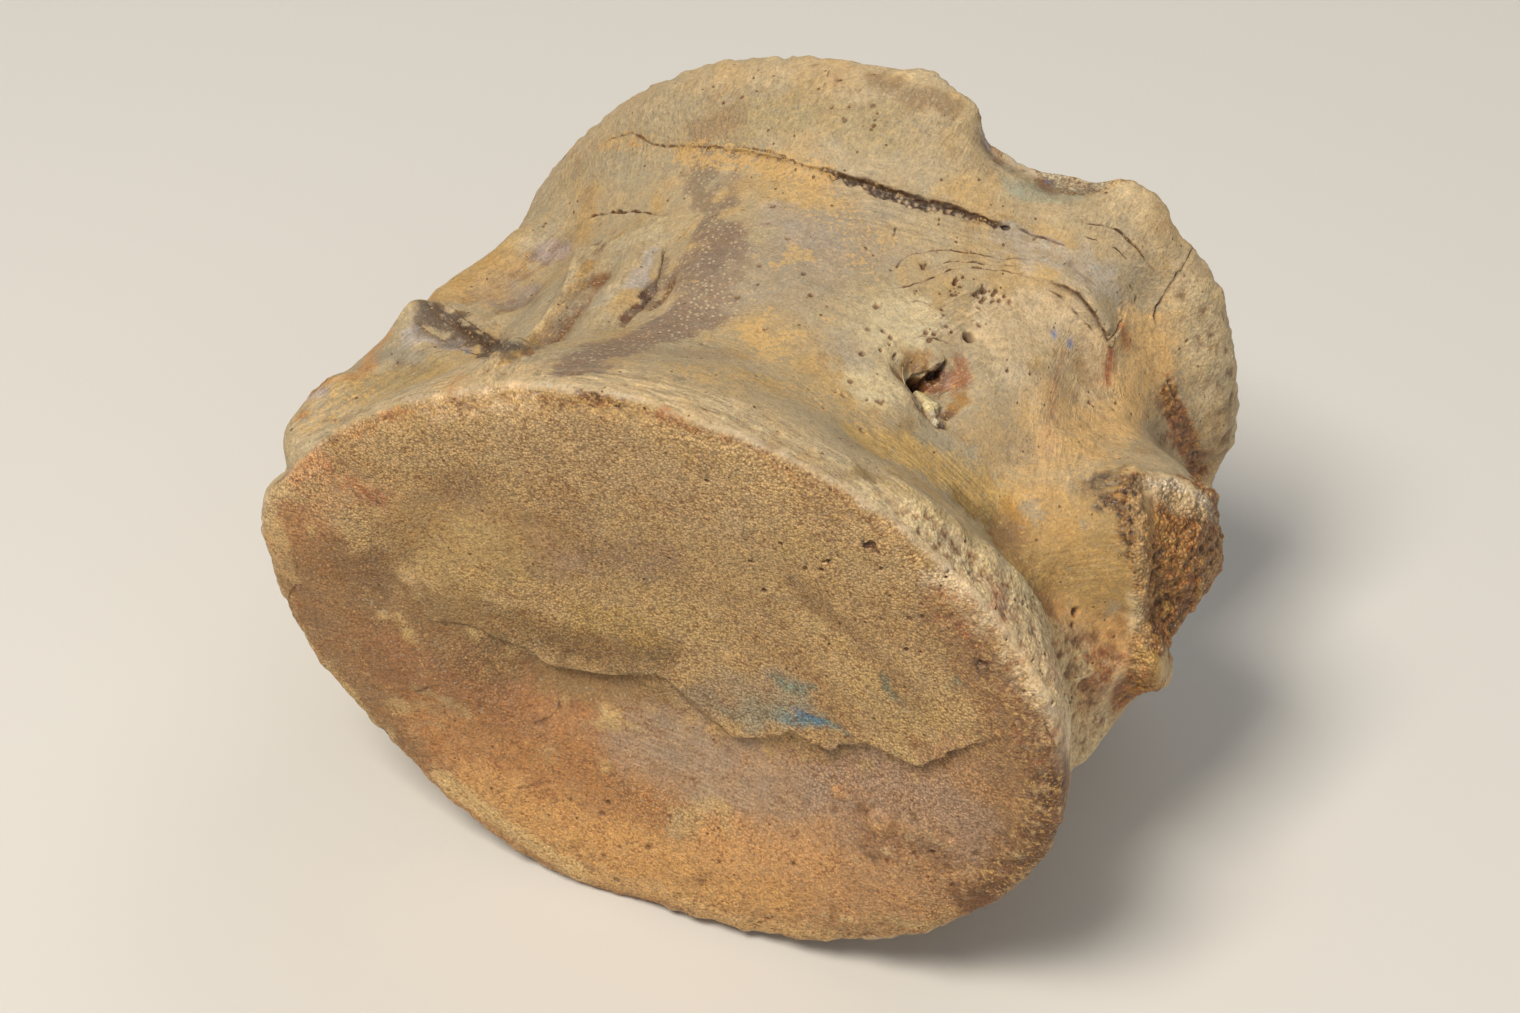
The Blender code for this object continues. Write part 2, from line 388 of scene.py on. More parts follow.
# broad forms that the CAD bone leaves out: spots of the photo, then reach and height in
# millimetres; a negative height is a hollow
forms = {
    "goldenRidge": (((500, 366), (538, 338), (572, 292), (586, 258)), 2.0, 1.6),
    "hollowByGoldenRidge": (((546, 344), (575, 308), (598, 274)), 3.4, -1.3),
    "leftStubHollow": (((438, 320), (470, 341), (505, 353)), 4.0, -1.1),
    "leftStubRim": (((418, 296), (440, 283), (465, 271)), 4.2, 1.6),
    "leftRimOutline": (((-46.8, 3.0, 55.6), (-46.5, 6.5, 54.0)), 4.0, 2.4),
    "leftRimCorner": (((-48.0, -32.0, 52.0), (-54.8, -17.0, 45.0)), 3.5, 0.8),
    "leftStubCrest": (((395, 338), (440, 360), (480, 366)), 2.6, 0.5),
    "leftStubUpperHollow": (((520, 268), (548, 250)), 5.0, -1.1),
    "leftStubCorner": (((389, 319), (405, 303)), 5.0, 1.5),
    "leftTipCorner": (((285, 425), (302, 402), (325, 382)), 5.0, 2.5),
    "leftUpperOutline": (
        ((-45.0, 12.0, 52.0), (-43.5, 15.0, 53.0), (-42.0, 18.0, 54.5), (-43.0, 24.0, 52.0)), 5.0, 1.4
    ),
    "leftFlank": (((271, 478), (268, 505)), 5.0, 1.0),
    "notchShoulder": (((925, 70), (950, 84), (974, 100)), 4.5, 1.3),
    "notch": (((990, 142), (1006, 157), (1033, 167)), 3.2, -0.9),
    "notchFar": (((1054, 177), (1072, 180), (1092, 182)), 3.6, -1.5),
    "farCorner": (((50.9, 33.0, 34.6),), 4.0, -0.9),
    "stubTipCut": (((56.0, -6.5, 41.0),), 3.0, -0.7),
    "lobeCorner": (((1125, 183), (1150, 191)), 4.0, 1.3),
    "lobeOutline": (((1193, 244),), 4.0, -0.9),
    "stubUnderCut": (((1206, 614), (1190, 636)), 3.8, -3.0),
    "flankBehindStub": (((1194, 634), (1182, 656)), 4.5, -3.0),
    "flankLow": (((1118, 710), (1101, 735)), 4.5, -0.8),
    "stubFarSide": (((1226, 546),), 4.0, 0.8),
    "secondHoleHollow": (((664, 240), (655, 280), (628, 312)), 4.5, -1.3),
    "secondHoleBank": (((690, 250), (682, 290), (655, 325)), 3.5, 0.5),
    "firstHoleHollow": (((918, 368), (938, 390), (950, 410)), 4.5, -1.5),
    "slopeOfFirstHole": (((935, 378), (960, 372)), 3.0, -0.7),
    "lipOfFirstHole": (((925, 345), (950, 330), (985, 330)), 4.5, 0.3),
    "ochreHollow": (((908, 366), (918, 366)), 2.0, -0.7),
    "oliveValley": (((885, 440), (950, 480), (1020, 545), (1050, 590)), 7.0, -1.6),
    "bandEdge": (((900, 490), (975, 545), (1030, 600), (1075, 655), (1110, 672)), 2.6, 1.0),
    "stubRidge": (((1128, 478), (1141, 530), (1146, 590), (1143, 640), (1140, 680)), 2.1, 1.2),
    "stubFaceHollow": (((1085, 560), (1100, 620)), 6.5, -1.3),
    "stubBreakHollow": (((1180, 520), (1178, 570), (1172, 610)), 6.5, -2.6),
    "stubCrest": (((1135, 474), (1172, 481), (1210, 500)), 2.0, 0.9),
    "stubTip": (((1150, 650), (1158, 668)), 3.6, 2.6),
    "rightCrackFold": (((1045, 278), (1080, 300), (1108, 340)), 3.0, 0.9),
    "rightFoldInner": (((1100, 330), (1085, 300), (1062, 282)), 1.8, 0.5),
    "rightHollow": (((1085, 400), (1100, 440)), 7.0, -1.0),
    "rightSwelling": (((1010, 350), (1040, 380), (1050, 430)), 7.0, 0.8),
    "farLobeWaist": (((1150, 300), (1165, 400), (1195, 480)), 5.0, -1.2),
    "farLobeRim": (((1190, 260), (1215, 330), (1222, 420)), 6.0, 0.6),
    "longCrackValley": (((640, 150), (740, 160), (850, 190), (950, 215), (1020, 240)), 5.0, -0.8),
    "aboveLongCrack": (((700, 125), (800, 135), (900, 170), (990, 195)), 5.0, 0.6),
    "faceHollowLeft": (((372, 590), (410, 545), (455, 500)), 6.0, -0.6),
    "facePatch": (((440, 520), (520, 510), (600, 540)), 12.0, 0.6),
    "facePatchEdge": (((440, 610), (520, 620), (600, 640), (670, 650)), 5.0, 0.2),
    "faceDiagonal": (((790, 590), (850, 640), (915, 700)), 5.0, -0.5),
    "underLedge": (((540, 690), (640, 715), (740, 765), (880, 790)), 10.0, -1.3),
    "swellingUnderLedge": (((470, 690), (560, 730), (640, 780)), 7.0, 0.8),
    "faceLowSwelling": (((520, 800), (640, 850), (780, 870)), 11.0, 0.9),
    "faceLowValley": (((430, 720), (520, 770), (600, 800)), 6.0, -0.5),
    "rightRimHollow": (((1010, 790), (985, 845)), 6.0, -0.7),
    "hiddenFaceHollow": (((-6, 36, 56), (12, 36, 60)), 11.0, -0.9),
    "hiddenFaceKnob": (((-24, 36, 64), (-16, 36, 60)), 5.0, 0.6),
    "hiddenFaceSag": (((28, 36, 52), (30, 36, 40)), 6.0, -0.7),
    "hiddenFaceSwelling": (((-28, 36, 28), (-10, 36, 20)), 9.0, 0.8),
    "hiddenFaceLow": (((20, 36, 24), (30, 36, 30)), 7.0, -0.6),
    "hiddenLeftFlank": (((-47, 12, 32), (-42, 14, 20)), 8.0, -1.1),
    "hiddenLeftFold": (((-50, 4, 26), (-44, 2, 16), (-38, 4, 8)), 3.5, 0.8),
    "hiddenRightFlank": (((47, 10, 34), (42, 12, 20)), 8.0, -1.0),
    "hiddenRightFold": (((50, -6, 34), (44, -8, 22), (38, -6, 12)), 3.5, 0.8),
}
# waves of the whole bone: height and length in millimetres, then a seed
waves = ((0.35, 14.0, 3), (0.22, 6.0, 4))


def filledHole(places, normals, middle, radius, share):
    # lifts a hole's points towards the smooth surface that its surroundings make
    gap = np.linalg.norm(places - middle, axis=1)
    ring = np.flatnonzero((gap > radius) & (gap < radius * 1.7))
    up = normals[ring].mean(0)
    up /= np.linalg.norm(up)
    across = np.cross(up, (1.0, 0.0, 0.0))
    over = np.cross(up, across)

    def terms(points):
        u, v = (points - middle) @ across, (points - middle) @ over
        return np.stack((np.ones(len(points)), u, v, u * u, u * v, v * v), axis=1)

    fit = np.linalg.lstsq(terms(places[ring]), (places[ring] - middle) @ up, rcond=None)[0]
    inside = np.flatnonzero(gap < radius * 1.2)
    lift = terms(places[inside]) @ fit - (places[inside] - middle) @ up
    places[inside] += up * (lift * share * ease(gap[inside], radius * 1.2, radius * 0.8))[:, None]


def shapeForms(mesh):
    tree = surfaceTree(mesh)
    places, normals = read(mesh)
    for spot, radius, share in fillings.values():
        filledHole(places, normals, onBone(tree, spot), radius, share)
    moved(mesh, places)
    tree = surfaceTree(mesh)
    places, normals = read(mesh)
    height = np.zeros(len(places))
    for spots, reach, rise in forms.values():
        picked, gap, along, side = nearLine(places, normals, traced(tree, spots), reach * 1.6)
        height[picked] += rise * np.exp(-((gap / reach) ** 2) * 1.6)
    height += sum(rise * lumps(places, size, seed) for rise, size, seed in waves)
    onPlane = ease(places[:, 2], 0.4, 2.5)
    moved(mesh, places + normals * (height * onPlane)[:, None])


shapeForms(bone.data)
print("broad forms shaped")
boneTree = surfaceTree(bone.data)


# cracks: spots of the photo, then width and depth in millimetres
cracks = {
    "longLeft": (
        (
            (588, 156), (611, 139), (631, 133), (655, 144), (684, 147), (740, 147), (790, 159), (830, 172),
        ), 0.3, 0.45,
    ),
    "longRight": (((1015, 228), (1040, 237), (1068, 246)), 0.3, 0.4),
    "leftShort": (((582, 219), (611, 212), (638, 212), (671, 215)), 0.5, 0.9),
    "underLong": (((896, 262), (912, 255), (939, 250), (975, 254), (1005, 259), (1052, 257)), 0.22, 0.3),
    "underLongLow": (((915, 275), (950, 262), (990, 264), (1030, 268)), 0.2, 0.25),
    "rightArc": (((883, 289), (912, 285), (956, 269), (992, 269), (1029, 275), (1058, 282)), 0.28, 0.4),
    "rightArcWide": (((1058, 282), (1078, 295), (1098, 319), (1108, 338), (1111, 347)), 0.3, 0.6),
    "innerArc": (((1045, 288), (1066, 302), (1088, 326), (1103, 343)), 0.2, 0.25),
    "curl": (((1106, 340), (1112, 334), (1116, 341), (1111, 348), (1106, 344)), 0.2, 0.4),
    "lobe": (((1075, 222), (1105, 226), (1125, 236), (1145, 259), (1160, 277)), 0.28, 0.45),
    "lobeLow": (((1080, 236), (1110, 244), (1130, 262)), 0.2, 0.25),
    "lobeEdge": (((1194, 246), (1178, 272), (1161, 299), (1153, 315), (1163, 338)), 0.25, 0.45),
    "fold": (((1109, 342), (1121, 322), (1128, 305)), 0.35, 0.6),
    "foldUp": (((1121, 322), (1118, 306), (1128, 298)), 0.25, 0.35),
    "lobeBroken": (((1165, 378), (1170, 390), (1176, 401)), 0.25, 0.3),
    "rimNick": (((296, 582), (291, 592), (287, 603)), 0.25, 0.3),
    "leftHollowA": (((424, 302), (452, 326), (492, 351)), 0.22, 0.25),
    "leftHollowB": (((444, 301), (474, 326), (507, 350)), 0.2, 0.3),
    "leftHollowC": (((412, 321), (446, 342), (480, 357)), 0.18, 0.2),
    "lowerFaceLeft": (((412, 693), (430, 688), (452, 682), (469, 673)), 0.3, 0.12),
    "lowerFaceMiddle": (((492, 792), (520, 788), (546, 782)), 0.35, 0.2),
    "lowerFaceMiddleB": (((560, 700), (552, 716), (532, 724)), 0.35, 0.15),
    "rimRight": (((1042, 716), (1050, 732), (1056, 748)), 0.25, 0.35),
    "secondHoleSlit": (((662, 244), (662, 262), (660, 283)), 0.25, 0.6),
    "stubSeam": (((1130, 500), (1130, 530), (1127, 560)), 0.22, 0.35),
    "nearFirstHole": (((918, 336), (932, 338), (952, 344)), 0.22, 0.3),
    "farBandSplit": (((832, 62), (822, 92), (812, 112)), 0.12, 0.08),
    "shortA": (((912, 302), (920, 301), (929, 304)), 0.2, 0.25),
    "shortB": (((874, 312), (880, 306), (887, 300)), 0.16, 0.15),
    "shortC": (((893, 236), (897, 228)), 0.22, 0.3),
    "underLongHook": (((896, 268), (899, 262), (904, 258)), 0.22, 0.3),
    "lobeInner": (((1131, 308), (1136, 296), (1128, 284)), 0.2, 0.2),
    "stubLineA": (((1138, 487), (1120, 484), (1104, 484), (1086, 489)), 0.22, 0.3),
    "stubLineB": (((1134, 480), (1118, 476), (1102, 477), (1088, 482)), 0.2, 0.25),
    "stubLineC": (((1136, 493), (1120, 492), (1098, 494)), 0.2, 0.3),
    "stubLineD": (((1128, 501), (1112, 499), (1094, 501)), 0.16, 0.2),
    "stubLineE": (((1150, 486), (1136, 474), (1118, 468)), 0.16, 0.2),
    "hiddenFace": (
        ((4, 34, 66), (9, 34, 61), (8, 34, 56), (14, 34, 51), (15, 34, 45), (21, 35, 41)), 0.22, 0.35
    ),
    "hiddenFaceLow": (((27, 35, 60), (31, 35, 55), (30, 35, 50), (34, 35, 46)), 0.2, 0.3),
    "hiddenFlank": (((-46, 10, 30), (-44, 16, 38), (-40, 18, 47)), 0.35, 0.5),
    "hiddenFlankRight": (((48, 12, 24), (46, 18, 32), (47, 22, 42)), 0.3, 0.5),
}
# steps in the surface, higher on their upper side in the photo: spots, height, how far the
# low side takes to come back up, how crumbly the edge is, and the stretch where it is soft
ledges = {
    "face": (
        (
            (395, 612), (426, 620), (472, 625), (492, 635), (512, 642), (532, 650), (552, 663), (592, 670),
            (621, 673), (658, 673), (674, 682), (690, 702), (720, 725), (740, 736), (783, 733), (793, 729),
            (806, 738), (820, 744), (832, 748), (842, 743), (866, 742), (886, 748), (906, 759), (919, 764),
            (939, 759), (956, 748), (972, 744), (992, 741), (1012, 738),
        ), 1.25, 8.0, 0.3, (0.44, 0.58),
    ),
    "firstHole": (
        ((906, 374), (911, 383), (919, 382), (928, 374), (938, 367), (948, 359)), 1.0, 4.0, 0.25, (2, 3)
    ),
    "leftHollow": (((432, 298), (440, 308), (462, 326), (490, 341), (512, 350)), 0.2, 3.0, 0.9, (2, 3)),
    "secondHole": (((667, 240), (663, 262), (657, 287), (643, 310), (622, 332)), 0.9, 3.5, 0.25, (2, 3)),
    "hiddenFace": (
        (
            (-40, 36, 50), (-37, 36, 43), (-31, 36, 41), (-28, 36, 35), (-21, 36, 34), (-17, 36, 28),
            (-9, 36, 27), (-6, 36, 23), (3, 36, 22), (8, 36, 17), (17, 36, 18), (22, 36, 14),
        ), 0.9, 8.0, 0.7, (0.35, 0.5),
    ),
    "rightFold": (((1040, 277), (1078, 294), (1100, 322), (1110, 345)), 0.5, 3.0, 0.1, (2, 3)),
    "longCrack": (((640, 143), (740, 150), (830, 172), (920, 198), (1015, 228)), 0.45, 3.0, 0.3, (2, 3)),
}
# the gritty dark filling of the long crack, in millimetres
darkFill = {
    "spots": (
        (822, 170), (846, 179), (875, 189), (899, 198), (919, 204), (940, 207), (958, 212), (978, 220),
        (1006, 227),
    ),
    "width": 0.75,
    "depth": 0.5,
    "grit": 0.55,
}
# pits and pores: a spot of the photo, or the two ends of a long pit, then radius and depth in
# millimetres; a negative depth is a chip that stands proud
holes = {
    "firstHole": ((914, 384), 0.9, 2.6),
    "firstHoleDeep": ((921, 384), 0.9, 2.2),
    "firstHoleSide": ((932, 376), 0.8, 1.3),
    "firstHoleLower": ((941, 424), 1.0, 2.0),
    "lipHole": ((969, 337), 0.8, 1.6),
    "secondHole": ((648, 291), 1.1, 0.6),
    "secondHoleSide": ((637, 302), 0.8, 0.35),
    "secondHoleLow": ((624, 315), 0.8, 0.4),
    "poreA": ((922, 265), 0.3, 0.5),
    "poreB": (((955, 282), (958, 278)), 0.24, 0.35),
    "poreC": (((974, 295), (980, 291)), 0.28, 0.4),
    "poreD": (((981, 302), (985, 297)), 0.26, 0.4),
    "poreE": (((993, 295), (997, 290)), 0.26, 0.35),
    "poreJ": (((923, 268), (926, 263)), 0.28, 0.4),
    "poreF": ((942, 309), 0.3, 0.4),
    "poreG": ((863, 431), 0.5, 0.6),
    "poreH": ((820, 403), 0.3, 0.4),
    "poreI": ((881, 350), 0.25, 0.3),
    "rimPitTop": ((595, 398), 0.8, 0.5),
    "rimPitTopRight": ((609, 402), 0.5, 0.4),
    "rimPitTopLeft": ((588, 396), 0.5, 0.3),
    "facePit": ((870, 546), 0.7, 0.4),
    "facePitB": ((876, 552), 0.5, 0.3),
    "facePitRight": ((982, 663), 0.45, 0.3),
    "facePitRightB": ((988, 670), 0.3, 0.2),
    "stubPit": ((1075, 612), 0.6, 0.7),
    "stubPitB": ((1073, 625), 0.4, 0.4),
    "chipLeft": ((838, 793), 0.9, -0.3),
    "chipRight": ((880, 823), 1.5, -0.4),
    "creamChip": (((920, 399), (930, 408)), 0.95, -0.75),
    "creamChipLow": (((929, 417), (935, 424)), 0.6, -0.7),
    "hiddenHole": (((-5, -3, 4), (-6, 1, 4)), 0.9, 1.6),
    "hiddenHoleSmall": (((3, 4, 4), (2, 6, 4)), 0.6, 1.0),
}
# small pits strewn round spots: spots, how far they are strewn in pixels of the photo (or in
# millimetres round spots of three numbers), how many, then radius and depth
strewnPits = {
    "poreCluster": (((950, 284), (968, 290), (984, 294), (1000, 298)), 10.0, 34, 0.24, 0.3),
    "belowCluster": (((940, 325), (930, 340), (985, 330)), 10.0, 8, 0.28, 0.35),
    "belly": (((760, 230), (800, 300), (860, 340), (720, 340)), 32.0, 20, 0.3, 0.35),
    "aboveRim": (((822, 404), (845, 384), (868, 398), (885, 350)), 14.0, 14, 0.28, 0.35),
    "band": (((960, 560), (1010, 610), (1045, 660), (1065, 690)), 14.0, 24, 0.22, 0.25),
    "bulge": (((1030, 380), (1080, 430), (1120, 420)), 24.0, 10, 0.22, 0.25),
    "farBand": (((740, 100), (850, 110), (1060, 210), (1180, 300)), 26.0, 12, 0.25, 0.25),
    "faceRight": (((880, 600), (930, 650), (800, 560), (700, 480)), 40.0, 22, 0.26, 0.25),
    "faceLow": (((600, 840), (760, 890), (900, 860)), 40.0, 16, 0.3, 0.25),
    "hiddenFace": (((-25, 36, 56), (-14, 36, 50), (30, 36, 30)), 5.0, 26, 0.28, 0.3),
    "hiddenFaceWide": (((5, 36, 60), (20, 36, 40), (-10, 36, 16)), 14.0, 24, 0.22, 0.25),
    "hiddenRim": (((-38, 36, 62), (-24, 36, 74), (0, 36, 80)), 4.0, 16, 0.35, 0.4),
    "hiddenLeft": (((-46, 12, 40), (-42, 16, 26)), 6.0, 12, 0.3, 0.35),
    "hiddenRight": (((46, 14, 36), (42, 14, 24)), 6.0, 12, 0.3, 0.35),
    "hiddenUnder": (((-26, -4, 10), (4, 4, 6), (30, -4, 12)), 6.0, 14, 0.3, 0.4),
}
pitRun = (5.0, -4.5)  # the long pits of the belly run up to the right in the photo, in pixels
chance = np.random.default_rng(11)
for name, (spots, strewn, count, radius, depth) in strewnPits.items():
    for number in range(count):
        start = np.array(spots[chance.integers(len(spots))])
        start = start + chance.normal(size=len(spots[0])) * strewn * 0.7
        size = radius * chance.uniform(0.6, 1.35)
        if len(start) == 2:
            run = np.array(pitRun) * size * chance.uniform(0.1, 1.0)
        else:
            run = chance.normal(size=3) * size * 0.7
        deep = depth * chance.uniform(0.5, 1.2)
        holes[f"{name}{number}"] = ((tuple(start), tuple(start + run)), size, deep)


def pitLine(spots):
    return traced(boneTree, spots if isinstance(spots[0], tuple) else (spots,))


def facing(x, y):
    # how far a place is from the middle of the end faces, and in which direction, in degrees
    middleX, middleZ = camera["faceMiddle"]
    return np.hypot(x - middleX, y - middleZ), np.degrees(np.arctan2(y - middleZ, x - middleX)) % 360


rimSearch = {
    "step": 3.0,  # degrees
    "reach": 1.8,
    "leastDepth": 20.0,  # millimetres from the middle of the bone
}


def rimLine(places, end):
    # the edge round an end face, as radius and depth by angle; end is -1 for the near face
    radius, angle = facing(places[:, 0], places[:, 2])
    outmost = radius + end * places[:, 1]
    atEnd = places[:, 1] * end > rimSearch["leastDepth"]
    angles = np.arange(0, 360, rimSearch["step"])
    radii, depths = [], []
    for middle in angles:
        turned = np.abs((angle - middle + 180) % 360 - 180)
        close = np.flatnonzero((turned < rimSearch["reach"]) & atEnd)
        best = close[np.argmax(outmost[close])]
        radii.append(radius[best])
        depths.append(places[best, 1])
    return angles, np.array(radii), np.array(depths)


def fromRim(places, rim):
    # millimetres from a rim's edge: above 0 on the end face, below 0 on the side of the bone
    angles, radii, depths = rim
    radius, angle = facing(places[:, 0], places[:, 2])
    edge = np.interp(angle, angles, radii, period=360)
    depth = np.interp(angle, angles, depths, period=360)
    inward = edge - radius
    backward = (places[:, 1] - depth) * -np.sign(depths.mean())
    return np.hypot(inward, backward) * np.where(inward > backward, 1, -1)


# breaks: the middle and half sizes in millimetres of the block of bone that each one fills,
# how fresh it is and how ragged its border is
breaks = {
    "rightStub": ((58.0, 0.5, 50.0), (7.5, 11.5, 13.0), 1.0, 1.0),
    "leftStub": ((-57.5, -4.5, 39.5), (5.0, 13.0, 11.0), 0.62, 2.0),
    "leftStubTop": ((-56.0, -8.0, 50.0), (4.0, 6.0, 5.0), 0.5, 2.0),
    "rightArch": ((17.0, 0.0, 0.5), (6.5, 17.0, 3.6), 0.6, 2.2),
    "leftArch": ((-15.0, 0.0, 0.5), (6.5, 17.0, 3.6), 0.6, 2.2),
}
# more broken bone, along lines of spots: reach in millimetres and strength
breakLines = {
    "stubFace": (((1168, 500), (1172, 550), (1168, 600)), 3.2, 1.0),
    "stubRidge": (((1134, 490), (1143, 540), (1147, 600), (1142, 680)), 2.0, 0.8),
    "stubBlack": (((1113, 502), (1128, 504), (1130, 530)), 1.6, 0.6),
    "stubCrest": (((1140, 482), (1170, 486), (1205, 503)), 1.0, 0.5),
    "stubLow": (((1160, 610), (1158, 640)), 2.4, 0.9),
    "stubUnder": (((1150, 690), (1120, 700)), 2.0, 0.7),
    "lobeSeam": (((1168, 392), (1182, 430), (1200, 474)), 1.7, 0.65),
    "farNotch": (((984, 112), (990, 138), (1002, 150)), 0.7, 0.35),
}
# how ragged the borders of the breaks are: share, lump size in millimetres and seed
raggedness = ((0.2, 6.0, 20), (0.14, 3.2, 21), (0.08, 1.4, 22))


def breakShare(places, normals):
    # 1 on the broken, spongy places, 0 on whole bone
    share = np.zeros(len(places))
    ragged = sum(part * lumps(places, size, seed) for part, size, seed in raggedness)
    for middle, half, fresh, uneven in breaks.values():
        off = np.sqrt((((places - middle) / half) ** 2).sum(1)) + ragged * uneven
        share = np.maximum(share, fresh * ease(off, 1.08, 0.9 if fresh == 1 else 0.7))
    for spots, reach, strength in breakLines.values():
        picked, gap, along, side = nearLine(places, normals, traced(boneTree, spots), reach * 1.6)
        uneven = gap + reach * 1.6 * ragged[picked]
        share[picked] = np.maximum(share[picked], strength * ease(uneven, reach, reach * 0.6))
    return share


# two rounds of smaller facets along what is carved: how far they reach in millimetres
refining = {
    "reaches": (1.5, 0.65),
    "fillMargin": 1.2,
    "broken": 0.35,
    "rim": 0.9,
}


def refine(mesh):
    # smaller facets along cracks, ledges, pits, breaks and rims
    for level, reach in enumerate(refining["reaches"]):
        places, normals = read(mesh)
        wanted = np.zeros(len(places), bool)
        lines = [traced(boneTree, spots) for spots, width, depth in cracks.values()]
        lines += [traced(boneTree, parts[0]) for parts in ledges.values()]
        for line in lines:
            picked, gap, along, side = nearLine(places, normals, line, reach)
            wanted[picked[gap < reach]] = True
        filled = reach + refining["fillMargin"]
        line = traced(boneTree, darkFill["spots"])
        picked, gap, along, side = nearLine(places, normals, line, filled + 0.2)
        wanted[picked[gap < filled]] = True
        for spot, radius, depth in holes.values():
            picked, gap, along, side = nearLine(places, normals, pitLine(spot), radius + reach)
            wanted[picked[gap < radius + reach * 0.6]] = True
        if level == 0:
            wanted |= breakShare(places, normals) > refining["broken"]
            for end in (-1, 1):
                wanted |= np.abs(fromRim(places, rims[end])) < refining["rim"]
        bm = bmesh.new()
        bm.from_mesh(mesh)
        bm.verts.ensure_lookup_table()
        edges = [e for e in bm.edges if wanted[e.verts[0].index] and wanted[e.verts[1].index]]
        bmesh.ops.subdivide_edges(bm, edges=edges, cuts=1, use_grid_fill=True, smooth=0.0)
        bmesh.ops.triangulate(bm, faces=[f for f in bm.faces if len(f.verts) > 4])
        bm.to_mesh(mesh)
        bm.free()


rims = {end: rimLine(read(bone.data)[0], end) for end in (-1, 1)}
refine(bone.data)
print("refined", len(bone.data.vertices))

# areas whose relief is rougher than the rest: lines of spots, reach in millimetres, strength
crumblyFace = {
    "lowRight": (((863, 830), (905, 845), (950, 850)), 5.0, 1.0),
    "lowMiddle": (((700, 900), (800, 925), (900, 925)), 5.0, 0.8),
    "lowLeft": (((400, 745), (450, 800), (540, 860)), 4.0, 0.7),
    "chips": (((560, 850), (600, 865)), 3.0, 1.0),
    "rimTop": (((400, 420), (480, 402), (560, 398), (640, 412)), 2.2, 0.8),
    "leftSpeck": (((345, 488), (384, 501)), 2.0, 0.9),
    "rightEdge": (((960, 620), (1010, 690), (1040, 760), (1030, 840), (980, 890)), 4.0, 0.9),
    "hiddenLow": (((-35, 35, 20), (-10, 35, 8), (25, 35, 12)), 7.0, 0.9),
    "hiddenTop": (((-20, 35, 78), (15, 35, 80)), 4.0, 0.7),
}
pittedBand = {
    "right": (((925, 535), (985, 590), (1030, 640), (1075, 700), (1085, 750)), 5.0, 1.0),
    "rightWide": (((1020, 590), (1065, 650), (1100, 680)), 3.5, 1.0),
    "upper": (((740, 425), (830, 470), (900, 515)), 2.5, 0.4),
    "hidden": (((40, 32, 25), (52, 30, 42), (46, 30, 62)), 5.0, 0.6),
    "hiddenLeft": (((-42, -31, 22), (-30, -31, 14)), 5.0, 0.6),
}


def field(areas, places, normals):
    # how much each point belongs to areas given by lines of spots, from 0 to 1
    share = np.zeros(len(places))
    for spots, reach, strength in areas.values():
        picked, gap, along, side = nearLine(places, normals, traced(boneTree, spots), reach * 1.3)
        share[picked] = np.maximum(share[picked], strength * ease(gap, reach * 1.3, reach * 0.5))
    return share


# relief of each kind of surface: how much of each pattern it has, in millimetres
reliefs = {
    "edge": {"level": 0.2, "fine": 0.08, "small": 0.12, "medium": 0.15, "nicks": -0.45},
    "broken": {
        "level": 0.12, "crumbs": -0.12, "spongy": -0.14, "medium": 0.5, "small": 0.4, "fine": 0.32,
    },
    "pitted": {"ridged": 0.16, "level": -0.05, "spongy": -0.10, "small": 0.12, "medium": 0.2},
    "crumbly": {"small": 0.22, "medium": 0.26, "fine": 0.1},
}
carving = {
    # where end faces and rim bands begin, in millimetres from a rim's edge
    "faceStart": (-0.1, 0.7),
    "bandStart": (-7.5, -4.5),
    # how far lines are bent by wide and by fine waves, in millimetres
    "wobble": 2.6,  # length of the wide waves
    "warp": (0.5, 0.15),
    "bend": (0.25, 0.14),
    # shares of a ledge's height that are added above it and taken away below it
    "aboveLedge": 0.4,
    "belowLedge": 0.6,
    "aboveReach": 3.5,  # millimetres
    "edgeSharp": 0.14,  # half widths of a ledge's edge in millimetres, where sharp and where soft
    "edgeSoft": 1.1,
    # shares of a crack's depth: how deep it is cut, and how high its one side stands
    "crackDepth": 0.7,
    "crackLip": 0.25,
    # millimetres
    "fillReach": 4.0,
    "fillSink": 0.25,
    "crumbSize": 1.1,
    "spongeSize": 0.6,
    "rimWidth": 0.75,
    "ripple": 0.22,
}


